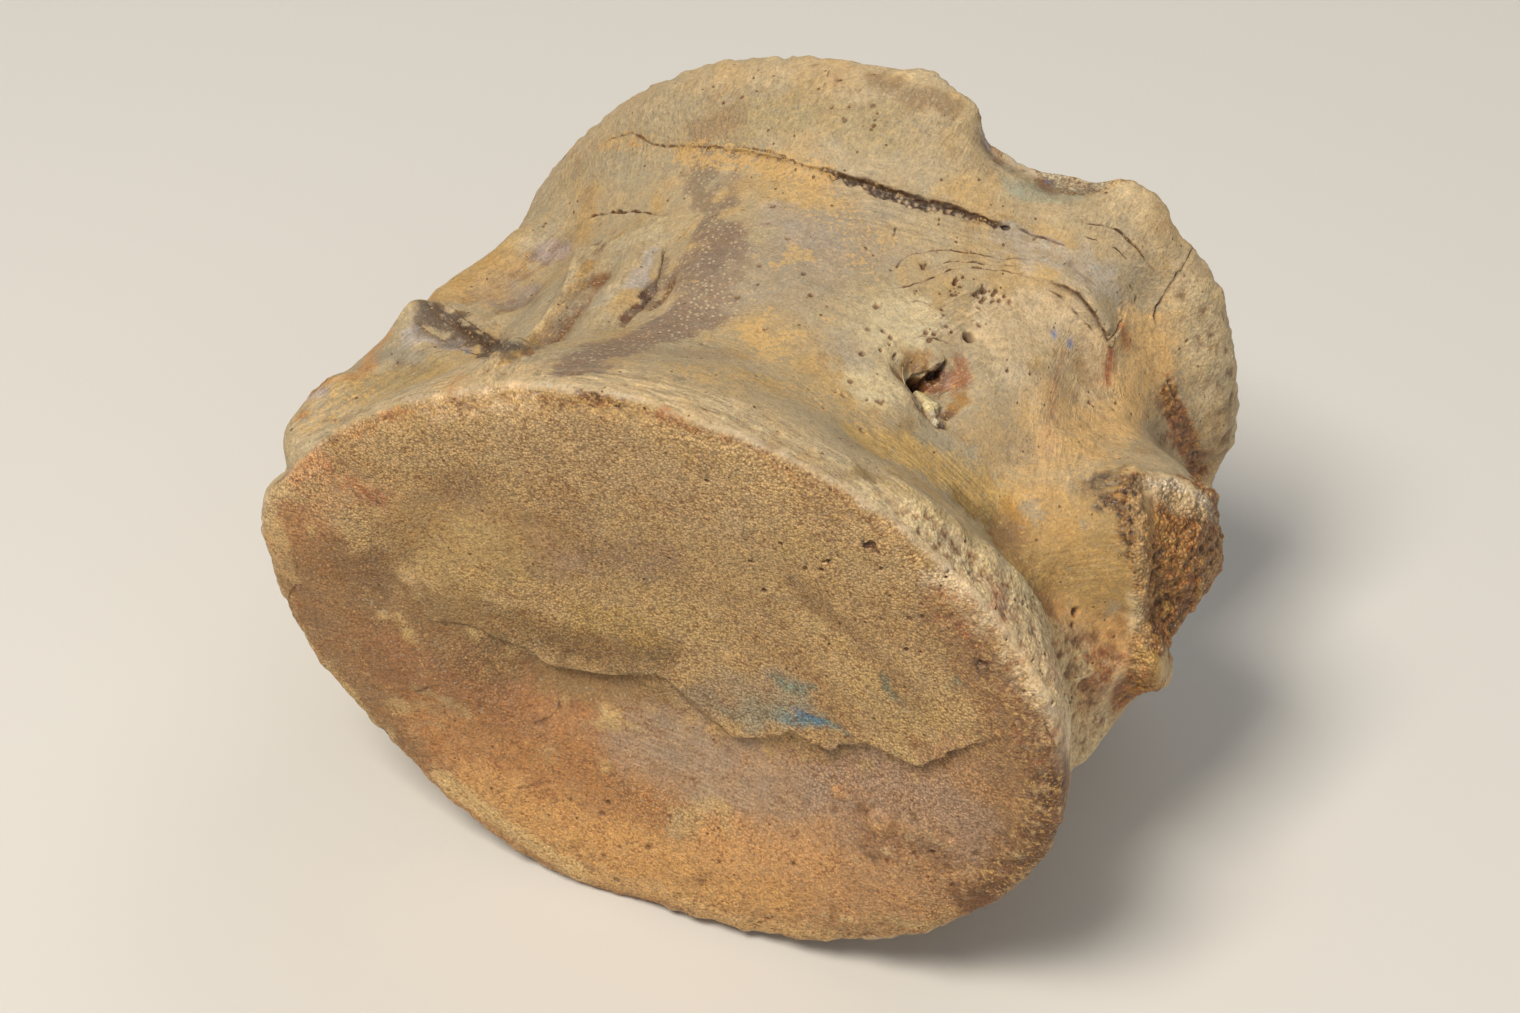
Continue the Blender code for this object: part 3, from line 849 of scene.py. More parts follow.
def carve(mesh):
    # cracks, ledges, pits, breaks and the rough rims; returns the places before carving and
    # what kind of surface each point is on
    places, normals = read(mesh)
    height = np.zeros(len(places))
    fine, small, medium = (noise(name, places) for name in ("fine", "small", "medium"))
    wobble = np.stack([lumps(places, carving["wobble"], 50 + axis) for axis in range(3)], axis=1)
    wide, narrow = carving["warp"]
    warped = places + wide * wobble + narrow * np.stack([fine, small, -fine], axis=1)
    wide, narrow = carving["bend"]
    bent = places + wide * wobble + narrow * np.stack([fine, -small, -fine], axis=1)
    edges = {"near": fromRim(places, rims[-1]), "far": fromRim(places, rims[1])}
    faces = np.maximum(*(ease(edge, *carving["faceStart"]) for edge in edges.values()))
    bands = np.maximum(*(ease(edge, *carving["bandStart"]) for edge in edges.values())) * (1 - faces)
    broken = breakShare(places, normals)
    shapes = {"level": 1.0, "fine": fine, "small": small, "medium": medium}

    # the layer above a ledge stands proud of the worn bone below it
    ledgeShade = np.zeros(len(places))
    for spots, rise, fallOff, crumble, (softStart, softEnd) in ledges.values():
        line = traced(boneTree, spots)
        picked, gap, along, side = nearLine(places, normals, line, fallOff)
        rough = crumble * (0.5 + ease(along, 0.55, 0.8))
        jag = gap * side + rough * (small[picked] + 0.5 * fine[picked])
        ends = between(along, 0.0, 0.3, 0.9, 1.0)
        soft = carving["edgeSoft"] * ease(along, softStart, softStart + 0.05)
        soft = carving["edgeSharp"] + soft * ease(along, softEnd, softEnd - 0.05)
        below = ease(jag, -soft, soft)
        fade = ease(gap, fallOff, 0.0)
        fadeAbove = ease(gap, min(fallOff, carving["aboveReach"]), 0.0)
        vary = 1 + 0.25 * medium[picked]
        height[picked] -= rise * carving["belowLedge"] * below * fade * ends * vary
        height[picked] += rise * carving["aboveLedge"] * (1 - below) * fadeAbove * ends * vary
        # painted shadow: a dark line just below each ledge's edge, where the proud layer shades the bone
        shade = between(jag, -0.25, 0.1, 0.1, 0.9) * ends * ease(soft, 0.9, 0.2)
        ledgeShade[picked] = np.maximum(ledgeShade[picked], shade)

    # cracks, with the bone a little higher on one side of each
    crackShade = np.zeros(len(places))
    for spots, width, depth in cracks.values():
        line = traced(boneTree, spots)
        picked, gap, along, side = nearLine(bent, normals, line, width * 5)
        ends = between(along, 0.0, 0.15, 0.85, 1.0)
        vary = 0.7 + 0.7 * small[picked] + 0.4 * medium[picked] + 0.3 * fine[picked]
        vary = np.clip(vary, 0.3, 1.3) * ends
        wide = width * (0.5 + 0.35 * vary)
        height[picked] -= carving["crackDepth"] * depth * ease(gap / wide, 1.1, 0.0) * vary
        lip = depth * carving["crackLip"] * side * ease(gap / wide, 4.5, 1.0)
        height[picked] += lip * ease(gap / wide, 0.6, 1.2) * ends
        shade = ease(gap / wide, 1.2, 0.3) * np.clip(vary, 0, 1)
        crackShade[picked] = np.maximum(crackShade[picked], shade)

    # the gritty filling of the long crack, with a painted shadow line above it
    line = traced(boneTree, darkFill["spots"])
    picked, gap, along, side = nearLine(bent, normals, line, carving["fillReach"])
    width = darkFill["width"] * (0.3 + 0.7 * ease(along, 0.0, 0.3) * ease(along, 1.0, 0.4))
    inFill = ease(gap + 0.4 * small[picked] + 0.35 * fine[picked], width * 1.3, width * 0.6)
    grit, gritTone = pebbles(places[picked], darkFill["grit"], 5)
    # painted shadow along the fill's upper side, under the overhanging bone
    shadow = ease(np.abs(gap * side + 0.8 * width), 0.4, 0.1)
    shadow = shadow * ease(along, 0.0, 0.1) * ease(along, 1.0, 0.9)
    shade = shadow * np.clip(0.8 + small[picked], 0, 1)
    crackShade[picked] = np.maximum(crackShade[picked], shade)
    height[picked] += inFill * (darkFill["depth"] * (0.3 - grit) - carving["fillSink"])
    fill = np.zeros(len(places))
    fill[picked] = inFill
    fillTone = np.zeros(len(places))
    fillTone[picked] = gritTone * ease(grit, 0.75, 0.25)

    # pits and pores: a bowl each, flat in the middle, and a chip's is turned outwards
    inHole = np.zeros(len(places))
    push = np.zeros_like(places)
    for spot, radius, depth in holes.values():
        picked, gap, along, side = nearLine(places, normals, pitLine(spot), radius * 2.2)
        if not len(picked):
            continue
        ragged = gap + 0.2 * radius * fine[picked] + 0.16 * radius * small[picked]
        level = 0.8 if depth < 0 else 0.5 if radius < 0.5 else 0.35
        bowl = ease(ragged, radius * 1.25, radius * level)
        axis = normals[picked[np.argmin(gap)]]
        push[picked] -= axis * (depth * bowl)[:, None]
        # deeper holes get more painted shade
        if depth > 0:
            inHole[picked] = np.maximum(inHole[picked], bowl * min(1, 0.4 + depth / 2))

    # crisp, nicked edges round the end faces
    for end, edge in edges.items():
        onEdge = np.exp(-((edge / carving["rimWidth"]) ** 2))
        shapes["nicks"] = ease(noise(end + "Nicks", places), 0.3, 0.9)
        height += onEdge * summed(reliefs["edge"], shapes)
        height += ease(np.abs(edge), 4.5, 0.5) * 0.07 * small

    # spongy, crumbled breaks, and the wormy, pitted band of the near rim
    crumbs, crumbTone = pebbles(places + 0.3 * wobble, carving["crumbSize"], 6)
    spongy, spongyTone = pebbles(places + 0.1 * wobble, carving["spongeSize"], 7)
    ridged = 1 - 2 * np.abs(noise("ridges", bent))
    shapes |= {"crumbs": crumbs, "spongy": spongy, "ridged": ridged}
    height += broken * summed(reliefs["broken"], shapes)
    pitted = field(pittedBand, places, normals) * (1 - faces) * (1 - broken)
    pitted = pitted * ease(edges["near"], -0.3, -1.2)
    height += pitted * summed(reliefs["pitted"], shapes)
    crumbly = field(crumblyFace, places, normals) * faces
    height += crumbly * (summed(reliefs["crumbly"], shapes) - 0.2 * spongy * ease(small, -0.3, 0.4))

    # worn unevenness all over, ripples on the far lobe
    height += 0.05 * fine + 0.06 * small * (1 - 0.3 * faces) + 0.10 * medium * (1 - 0.2 * faces)
    farLobe = ease(edges["far"], -9.0, -5.0) * (1 - faces) * ease(places[:, 0], 30, 42)
    height += farLobe * carving["ripple"] * noise("ripples", places * (1.0, 0.6, 1.0))
    height += bands * 0.08 * small

    free = ease(places[:, 2], 0.3, 1.6)
    moved(mesh, places + (normals * height[:, None] + push) * free[:, None])
    return places, {
        "all": np.ones(len(places)),
        "height": places[:, 2],
        "normals": normals,
        "warped": warped,
        "fine": fine,
        "small": small,
        "medium": medium,
        "near": edges["near"],
        "far": edges["far"],
        "faces": faces * (1 - broken),
        "bands": bands * (1 - broken),
        "broken": broken,
        "crumbTone": crumbTone,
        "spongyTone": spongyTone,
        "pitted": pitted,
        "crumbly": crumbly,
        "fill": fill,
        "fillTone": fillTone,
        "inHole": inHole,
        "ledge": ledgeShade,
        "crack": crackShade,
    }


places, zones = carve(bone.data)
print("carved")


def proud(mesh, steps):
    # how far each point stands above the surface smoothed over some steps, in millimetres
    now, normals = read(mesh)
    ends = np.empty(len(mesh.edges) * 2, np.int32)
    mesh.edges.foreach_get("vertices", ends)
    one, other = ends.reshape(-1, 2).T
    count = np.bincount(one, minlength=len(now)) + np.bincount(other, minlength=len(now))
    smooth = now.copy()
    for _ in range(steps):
        for axis in range(3):
            values = smooth[:, axis]
            total = np.bincount(one, values[other], len(now)) + np.bincount(other, values[one], len(now))
            smooth[:, axis] = total / count
    return ((now - smooth) * normals).sum(1)


zones["proud"] = proud(bone.data, 5)
zones["proudWide"] = proud(bone.data, 40)
print("hollows and edges found")

# the colours that whole bone, end faces, rims and breaks start from
grounds = {
    "bark": "#af9c7c",
    "barkGrey": "#a6977b",
    "barkOchre": "#ba9a65",
    "barkBrown": "#94795a",
    "face": "#c3a273",
    "faceBrown": "#a68258",
    "faceOlive": "#bfa26c",
    "faceMauve": "#b89878",
    "band": "#bda682",
    "bandRust": "#a9764a",
    "straw": "#d9c298",
    "strawPit": "#93603e",
    "underneath": "#a68659",
    "break": "#ab7a42",
    "breakOchre": "#be924f",
    "breakRust": "#8c5429",
    # dark of the broken bone's hollows: grime and painted shade
    "breakDark": "#4b3220",
    # dark crack lines, also used for the painted shadow under ledges
    "crack": "#46301f",
    "edge": "#c0ae99",
    # dark brown of dirt and painted shade, laid in small recesses and in cracks
    "dirt": "#735337",
    "worn": "#d6bd90",
    "rimSpot": "#a8693a",
    # red-brown of the rim's pits, also used as painted shade in holes
    "rimPit": "#684630",
    "fillDark": "#3d2f28",
    "fillMiddle": "#7c6854",
    "fillLight": "#c4ad8b",
    # near-black painted shade deep in holes
    "pit": "#2c1c13",
    "charcoal": "#2d2420",
    "rust": "#a3603a",
}
# stains, patches and some painted shade and highlight: spots of the photo, reach in millimetres, colour,
# strength and how ragged their border is, in millimetres
stains = {
    "faceLowBase": (
        ((470, 790), (560, 845), (700, 885), (820, 885), (920, 855), (985, 800)), 11.0, "#bb9064", 0.85, 4.0
    ),
    "faceLowRightBase": (((800, 800), (880, 840), (960, 850), (1000, 800)), 11.0, "#b08963", 0.85, 4.0),
    "faceRightBase": (((955, 625), (1000, 700), (1025, 770), (1010, 830)), 6.0, "#a17d57", 0.75, 4.0),
    "faceBrightPatch": (((440, 545), (490, 550)), 9.0, "#bfa06b", 0.6, 4.0),
    "faceUpper": (((520, 450), (640, 470), (740, 520)), 8.0, "#c6a67b", 0.6, 3.0),
    # painted shade in the face's diagonal valley
    "faceDarkValley": (((372, 575), (420, 520), (470, 478)), 4.0, "#987852", 0.45, 2.5),
    "faceLeftBrown": (((330, 570), (345, 620), (380, 660)), 8.0, "#957350", 0.65, 5.0),
    "faceLeftRust": (((355, 490), (300, 520)), 5.0, "#c5996f", 0.5, 4.0),
    "faceRustSpeck": (((350, 487), (384, 501)), 1.5, "#a8714e", 0.45, 2.2),
    "faceMauveMiddle": (((560, 560), (660, 555)), 5.0, "#ab8d70", 0.5, 3.0),
    # olive-brown tone and painted shade in the hollow above the ledge
    "faceAboveLedge": (((430, 605), (520, 625), (600, 648), (655, 652)), 4.5, "#94774f", 0.7, 4.0),
    "faceDarkDiagonal": (((800, 590), (860, 640), (910, 700)), 3.0, "#9a7b56", 0.5, 2.0),
    "faceGreyHaze": (((700, 700), (790, 700)), 6.0, "#aa9377", 0.6, 2.5),
    "faceYellowDots": (((590, 620), (640, 630)), 4.0, "#b89a5f", 0.5, 2.5),
    # olive tone and painted shadow below the ledge
    "underLedgeOliveShadow": (((480, 660), (580, 690), (650, 700)), 4.5, "#947650", 0.7, 2.5),
    "terracotta": (((375, 655), (430, 668), (500, 700)), 6.0, "#9a704c", 0.75, 4.5),
    "terracottaRight": (((520, 715), (600, 745)), 6.0, "#a97a53", 0.65, 5.5),
    "orangeLower": (((440, 740), (540, 770), (640, 800)), 8.0, "#b38354", 0.75, 5.5),
    "ochreLower": (((480, 800), (600, 850), (760, 890)), 7.0, "#d5a468", 0.85, 3.0),
    "smoothMauve": (((640, 740), (720, 770), (800, 790)), 6.5, "#a38b74", 0.7, 4.0),
    "mauveRight": (((840, 790), (920, 800), (960, 820)), 6.5, "#ad9079", 0.7, 4.5),
    "orangeMiddleLow": (((720, 850), (800, 870)), 6.0, "#c99966", 0.7, 4.0),
    "rightRimDark": (
        ((1054, 750), (1054, 800), (1040, 845), (1015, 876), (975, 900)), 3.4, "#70492c", 0.85, 2.4
    ),
    "rightRimUpper": (((1010, 690), (1040, 740)), 4.0, "#a88059", 0.6, 2.5),
    "paleLowerRim": (((440, 790), (500, 840), (570, 880)), 2.5, "#efcd98", 0.8, 1.4),
    "paleBottomRim": (((600, 890), (720, 920), (820, 935)), 2.5, "#dcb37c", 0.75, 1.5),
    "chipLeft": (((838, 793),), 1.2, "#cf9a5e", 0.6, 1.0),
    "chipRight": (((872, 822), (890, 828)), 1.5, "#cfa068", 0.45, 1.3),
    "crumblyLow": (((865, 835), (935, 850)), 3.0, "#8f6f55", 0.5, 2.0),
    "tealStreak": (((774, 680), (800, 688), (822, 688), (830, 693)), 0.5, "#5b8078", 0.6, 1.3),
    "tealHaze": (((735, 720), (765, 712), (800, 700)), 2.2, "#979d88", 0.32, 3.5),
    "blueSpot": (((802, 714), (820, 723)), 1.05, "#3d7ba6", 1.0, 1.4),
    "blueSpotHaze": (((788, 718), (830, 724)), 1.5, "#809da0", 0.5, 2.4),
    "blueTail": (((832, 722), (852, 733)), 0.7, "#4d7f80", 0.65, 1.2),
    "blueEdge": (((782, 727), (790, 722)), 0.5, "#3f7580", 0.6, 0.8),
    "tealSpotRight": (((882, 676), (890, 695)), 0.9, "#6d8576", 0.6, 0.8),
    "tealSpotFar": (((930, 689), (944, 687), (958, 684)), 0.5, "#3f7770", 0.65, 1.2),
    "tealSpotFarDark": (((916, 690),), 0.55, "#28637a", 0.85, 0.5),
    "tealSpotFarLow": (((932, 704), (940, 700)), 0.7, "#64866f", 0.4, 1.2),
    "rimOrangeTop": (((432, 413), (480, 402), (532, 396)), 1.7, "#e2c39c", 0.85, 1.2),
    "rimDarkPit": (((585, 398), (618, 404)), 0.8, "#6b4328", 0.85, 0.7),
    "rimGritLeft": (((310, 462), (350, 436), (400, 415), (450, 404)), 0.9, "#c08a50", 0.5, 1.3),
    "rimGritTop": (((450, 404), (520, 397), (600, 402), (660, 415)), 0.7, "#b47f4c", 0.5, 1.3),
    "rimGritRight": (((660, 417), (740, 445), (800, 480), (880, 530)), 0.6, "#9a6c45", 0.5, 1.2),
    "bandBright": (((1032, 652), (1052, 690), (1072, 722)), 5.0, "#f6dcb4", 0.95, 1.5),
    "upperDark": (((548, 264), (557, 252)), 0.9, "#725f4f", 0.6, 1.0),
    "upperPale": (((500, 284), (522, 275)), 1.4, "#c3ab86", 0.5, 1.4),
    "upperBrown": (((505, 308), (538, 300)), 2.0, "#83705a", 0.5, 1.8),
    "rimOrangeLeft": (((292, 480), (325, 452)), 2.5, "#dfae7e", 0.5, 2.2),
    "farBandOlive": (((740, 120), (800, 115), (880, 130)), 5.0, "#a89570", 0.7, 2.5),
    "farBandBrown": (((880, 78), (950, 105)), 2.5, "#8f7859", 0.6, 1.5),
    "farBandDark": (((700, 130), (730, 120)), 3.0, "#8d775c", 0.6, 1.5),
    "farBandGrey": (((1020, 185), (1110, 225)), 6.0, "#99a1aa", 0.9, 2.5),
    "farTealHaze": (((1022, 190), (1072, 195)), 3.0, "#a0a08a", 0.6, 1.5),
    "orangeUnderCrack": (((681, 154), (720, 157), (757, 163), (825, 185)), 1.3, "#a98a5e", 0.55, 1.6),
    "orangeLeftCrack": (((600, 145), (640, 140)), 1.6, "#c29a5f", 0.4, 1.6),
    "mauveStreaks": (((705, 170), (712, 205), (720, 228)), 3.0, "#8b7a65", 0.75, 4.0),
    "mauveStreakRight": (((735, 180), (732, 205)), 1.5, "#85705f", 0.5, 1.0),
    "bellyGrey": (((740, 290), (800, 270), (850, 240)), 9.0, "#a2927b", 0.75, 3.5),
    "bellyTopOchre": (((780, 215), (830, 250)), 4.5, "#a59584", 0.5, 3.0),
    "bellyYellow": (((880, 300), (860, 330)), 6.0, "#b3a180", 0.6, 2.5),
    "bellyPale": (((905, 320), (890, 350), (870, 390)), 5.5, "#cdbb96", 0.7, 2.5),
    "leftEdgeBrown": (((298, 590), (332, 652), (374, 702), (408, 745)), 3.2, "#9a7854", 0.75, 3.0),
    "faceEdgeBrown": (((978, 640), (1008, 685), (1032, 732), (1038, 765)), 3.0, "#957150", 0.75, 2.5),
    "leftUpperTan": (((450, 290), (500, 268)), 3.5, "#ab9876", 0.6, 3.0),
    "stubSideGold": (((1035, 488), (1058, 508), (1060, 535)), 3.2, "#b8935a", 0.75, 2.5),
    "faceLeftValley": (((345, 560), (390, 600), (440, 640), (485, 655)), 4.5, "#927350", 0.6, 4.0),
    "underCrackGrey": (((1010, 238), (1060, 258), (1110, 288)), 3.2, "#a79d90", 0.6, 2.5),
    "faceLeftGranules": (((298, 518), (312, 560)), 4.0, "#9c7249", 0.5, 3.0),
    "notchLip": (((1003, 153), (1035, 168), (1070, 179), (1100, 183)), 1.9, "#b5a68b", 0.9, 0.8),
    "rimTopLight": (((440, 402), (480, 397), (530, 398)), 1.2, "#e6c69a", 0.6, 1.4),
    "leftBellyGrey": (((565, 305), (598, 300)), 3.2, "#b8aa90", 0.85, 2.0),
    "bellyMidGrey": (((790, 335), (850, 352)), 4.2, "#a29581", 0.65, 2.5),
    "bulgeMiddle": (((1015, 385), (1062, 420)), 4.2, "#cfba9b", 0.6, 2.5),
    "bellyLeftPale": (((605, 245), (648, 232)), 3.2, "#bfae8c", 0.6, 2.0),
    "bandMidBrown": (((765, 436), (850, 478)), 1.9, "#998260", 0.8, 1.5),
    "bellyFleckField": (((760, 330), (800, 350)), 5.0, "#bb9a62", 0.5, 2.5),
    "stipple": (
        ((572, 366), (600, 354), (645, 338), (690, 310), (706, 268), (716, 236)), 5.0, "#857160", 0.8, 4.2
    ),
    "stippleLow": (((640, 350), (720, 355)), 3.0, "#95836b", 0.5, 2.0),
    "secondHoleBlue": (((652, 252), (644, 268), (638, 285)), 1.5, "#b0a69c", 0.75, 1.3),
    # painted shade in the hollows and under the overhanging edge of the second hole
    "secondHoleDark": (((653, 284), (646, 297), (638, 303)), 1.3, "#4e3e35", 0.8, 1.1),
    "secondHoleLowDark": (((628, 310), (622, 322)), 0.9, "#62503f", 0.7, 0.9),
    "secondHoleShade": (((664, 262), (656, 290), (640, 314)), 1.6, "#7c6853", 0.6, 1.2),
    "lilacPatch": (((545, 250), (568, 252)), 2.0, "#ab9a92", 0.8, 1.2),
    "lilacDark": (((533, 256),), 1.2, "#6f6058", 0.75, 1.2),
    "leftUpperBrown": (((490, 290), (530, 300)), 4.0, "#9a8b7b", 0.85, 2.5),
    "goldenRidge": (((499, 366), (538, 336), (575, 289), (588, 262)), 0.9, "#ad8c58", 0.85, 0.6),
    # painted shade in the hollow beside the golden ridge
    "hollowByRidge": (((548, 338), (568, 310), (580, 290)), 1.8, "#7f6e5a", 0.6, 1.6),
    # dark streaks of the hollow by the left stub, with painted shade in it
    "leftHollow": (((430, 312), (462, 332), (500, 350)), 2.5, "#625446", 0.8, 3.0),
    "leftHollowBlue": (((405, 332), (430, 340), (470, 353)), 1.1, "#aca4a0", 0.7, 1.8),
    # more dark streaks and painted shade in the left hollow
    "leftHollowDark": (((436, 303), (450, 318), (478, 335), (500, 345)), 0.8, "#544436", 0.6, 1.6),
    "leftHollowLow": (((420, 330), (450, 345), (485, 358)), 0.7, "#5d4e3f", 0.55, 1.4),
    "leftStubOlive": (((340, 390), (400, 380), (430, 370)), 4.0, "#a08b61", 0.6, 2.0),
    "leftStubGrey": (((385, 358), (420, 356)), 2.0, "#8f8877", 0.6, 1.2),
    "leftLilacTip": (((312, 395), (325, 390)), 1.2, "#b3a8a8", 0.8, 0.8),
    "leftRustSpot": (((302, 415),), 1.2, "#a06a3c", 0.8, 0.8),
    "leftEdgeOrange": (((389, 335), (370, 352), (330, 380)), 1.5, "#bd8b58", 0.6, 0.8),
    "bulgeOrange": (((1050, 440), (1110, 400), (1150, 350)), 8.0, "#ceaa76", 0.8, 3.0),
    "bulgePale": (((1000, 330), (1060, 330), (1080, 370)), 6.5, "#cbb491", 0.75, 2.5),
    "bulgeLow": (((990, 440), (1040, 470)), 4.5, "#b59b74", 0.7, 2.5),
    "bulgeGrey": (((1005, 400), (1020, 450)), 2.5, "#9d8f76", 0.5, 1.8),
    "pinkStreak": (((1062, 350), (1052, 400), (1048, 450)), 1.1, "#ba9170", 0.55, 1.0),
    "redStreak": (((1110, 352), (1108, 382)), 0.7, "#93492b", 0.85, 0.5),
    "redFold": (((1122, 330), (1128, 345)), 1.0, "#9c5c38", 0.6, 0.7),
    "firstHoleSlope": (((930, 384), (948, 382), (960, 368)), 2.1, "#94633f", 0.7, 1.8),
    # painted shade under the hole's overhanging edge
    "firstHoleSlopeDark": (((926, 384), (940, 374)), 1.1, "#684330", 0.7, 0.9),
    # painted glint on the glossy slope
    "firstHoleSlopeGlint": (((953, 371), (947, 386)), 0.5, "#c4a79b", 0.7, 0.6),
    # ochre tone with painted shade where the surface curls into the hole
    "firstHoleOchre": (((911, 364), (922, 361)), 1.7, "#8a6129", 0.75, 1.0),
    "firstHoleOchreLow": (((952, 408), (962, 402)), 1.4, "#9a7338", 0.75, 0.9),
    # painted shade in the hole and in the pit below the chip
    "firstHoleDark": (((911, 380), (918, 384), (926, 376), (940, 367)), 0.6, "#33211a", 0.9, 0.4),
    "firstHolePit": (((937, 426), (946, 419)), 0.8, "#35241a", 0.85, 0.4),
    "creamChip": (((921, 399), (928, 409)), 1.2, "#d8c694", 0.95, 0.4),
    "creamChipLow": (((930, 417), (934, 424)), 0.7, "#e2d6bb", 0.95, 0.3),
    "radiatingShade": (((905, 420), (905, 445)), 1.8, "#9a8058", 0.6, 1.0),
    "oliveSlope": (((860, 440), (940, 470), (1000, 510)), 3.8, "#c3a267", 0.75, 1.8),
    # olive tone with a painted shadow along the valley behind the rim band
    "oliveValley": (((960, 500), (1010, 540), (1040, 590)), 2.0, "#8a7344", 0.75, 1.0),
    "oliveShadowLine": (((860, 470), (930, 505), (985, 545)), 1.3, "#8f7a4e", 0.6, 0.8),
    "goldStreak": (((1005, 505), (1035, 545)), 1.4, "#aa7d36", 0.8, 0.7),
    "stubFaceOlive": (((1035, 560), (1075, 580), (1112, 570), (1120, 520)), 7.5, "#a98a56", 0.9, 2.5),
    "stubFaceOrange": (((1062, 625), (1085, 640), (1118, 640)), 5.0, "#d0a369", 0.85, 2.0),
    "stubRedSpots": (((1062, 612), (1072, 640), (1120, 665)), 1.3, "#a9633f", 0.5, 1.6),
    "rustUnderStub": (((1090, 690), (1130, 680)), 3.0, "#a0673a", 0.75, 1.8),
    "bandPits": (((960, 580), (1010, 620), (1040, 660)), 3.5, "#e6cba4", 0.8, 2.0),
    "bandRedSpots": (((1000, 600), (1030, 640), (1060, 690)), 2.5, "#ad7450", 0.4, 2.5),
    "bandLow": (((1070, 700), (1078, 750)), 4.5, "#d9ae74", 0.75, 2.0),
    "farLobeGrey": (((1200, 300), (1215, 380)), 6.0, "#b7a283", 0.7, 3.0),
    "farLobeOlive": (((1222, 425), (1214, 465)), 4.2, "#6f4c1e", 0.95, 2.0),
    "blueNotch": (((984, 128), (990, 142)), 0.8, "#8aa0ae", 0.6, 0.6),
    "blueDotA": (((1048, 184),), 0.7, "#3f74ad", 0.8, 0.6),
    "blueDotB": (((1055, 335),), 0.6, "#3570b5", 1.0, 0.3),
    "blueDotC": (((1071, 341),), 0.6, "#3570b5", 1.0, 0.3),
    "blueDotD": (((1141, 295),), 0.5, "#4a79a8", 0.7, 0.4),
    "blueDotE": (((1100, 314),), 0.35, "#5b86a5", 0.7, 0.3),
}

# stains that lie over the broken bone too, and painted shade in its hollow
lateStains = {
    "stubDarkStreaks": (((1086, 488), (1108, 478), (1134, 482)), 1.6, "#7b6850", 0.6, 2.0),
    "stubBlack": (((1110, 502), (1122, 508), (1132, 496)), 0.9, "#4a3d33", 0.6, 1.8),
    "stubBlackLow": (((1125, 528), (1126, 560)), 0.5, "#40352d", 0.7, 1.0),
    "stubPaleRidge": (((1137, 500), (1142, 560), (1143, 620), (1139, 672)), 1.5, "#bb9a6c", 0.75, 1.2),
    "stubTipOchre": (((1150, 655), (1160, 680)), 1.6, "#b8924f", 0.65, 1.0),
    "breakTopPale": (((1150, 487), (1175, 494), (1206, 510)), 2.4, "#d9bf96", 0.65, 1.6),
    "bandCream": (((1018, 638), (1045, 675), (1062, 705)), 3.0, "#f4d2a4", 0.45, 2.5),
    "breakTopCream": (((1148, 482), (1178, 486), (1208, 503)), 0.9, "#e0ccb0", 0.8, 0.8),
    "lobeRustCrack": (((1166, 392), (1182, 430), (1200, 474)), 1.6, "#93694a", 0.6, 1.6),
    "stubPaleLow": (((1136, 600), (1134, 625)), 1.0, "#cdbb98", 0.6, 1.0),
    "breakCrestPale": (((1205, 500), (1216, 520)), 0.9, "#cbb59c", 0.7, 0.8),
    # painted shade in the break's hollow beside the ridge
    "breakShade": (((1158, 560), (1156, 600), (1158, 640)), 1.6, "#6e4c2c", 0.5, 1.6),
    "breakLowDark": (((1180, 612), (1172, 628)), 1.4, "#5a3c22", 0.6, 1.2),
    "leftBreakPale": (((-57, -9, 46), (-57, 2, 48)), 1.6, "#c3a57a", 0.5, 1.5),
}
# stains on the sides that the photo doesn't show, with spots in millimetres
hiddenStains = {
    "farFaceOchre": (((-25, 36, 55), (-5, 36, 60)), 13.0, "#c2a064", 0.5, 6.0),
    "farFaceBrown": (((20, 36, 62), (35, 36, 50)), 9.0, "#97744d", 0.5, 7.0),
    "farFaceRust": (((-30, 36, 28), (-12, 36, 20)), 6.5, "#a6744e", 0.6, 8.0),
    "farFaceMauve": (((2, 36, 30), (22, 36, 26)), 9.0, "#aa8d72", 0.6, 7.0),
    "farFaceLow": (((-10, 36, 10), (14, 36, 8)), 6.0, "#c39765", 0.6, 5.0),
    "leftFlankOchre": (((-50, 8, 48), (-46, 12, 60)), 8.0, "#b8945c", 0.7, 3.5),
    "leftFlankGrey": (((-44, 10, 30), (-40, 6, 20)), 9.0, "#9d8f7b", 0.7, 4.0),
    "leftFlankRust": (((-52, -4, 26), (-48, -8, 18)), 3.0, "#9c6b45", 0.5, 4.0),
    "rightFlankOlive": (((46, 6, 34), (42, 10, 22)), 8.0, "#a58c5c", 0.7, 4.0),
    "rightFlankGrey": (((44, -14, 26), (38, -10, 16)), 6.0, "#a08f79", 0.7, 3.5),
    "underOchre": (((-30, 0, 12), (-34, -8, 16)), 9.0, "#b5905a", 0.7, 4.0),
    "underDark": (((-2, 6, 6), (4, -8, 6)), 6.0, "#8b7050", 0.5, 6.0),
    "underRight": (((32, 4, 12), (36, -6, 16)), 8.0, "#b08e62", 0.7, 4.0),
    "farBandRust": (((-45, 31, 40), (-38, 31, 26)), 4.0, "#a8764c", 0.6, 3.0),
    "farBandGrey": (((38, 31, 18), (20, 31, 8)), 5.0, "#a99d86", 0.6, 3.0),
}
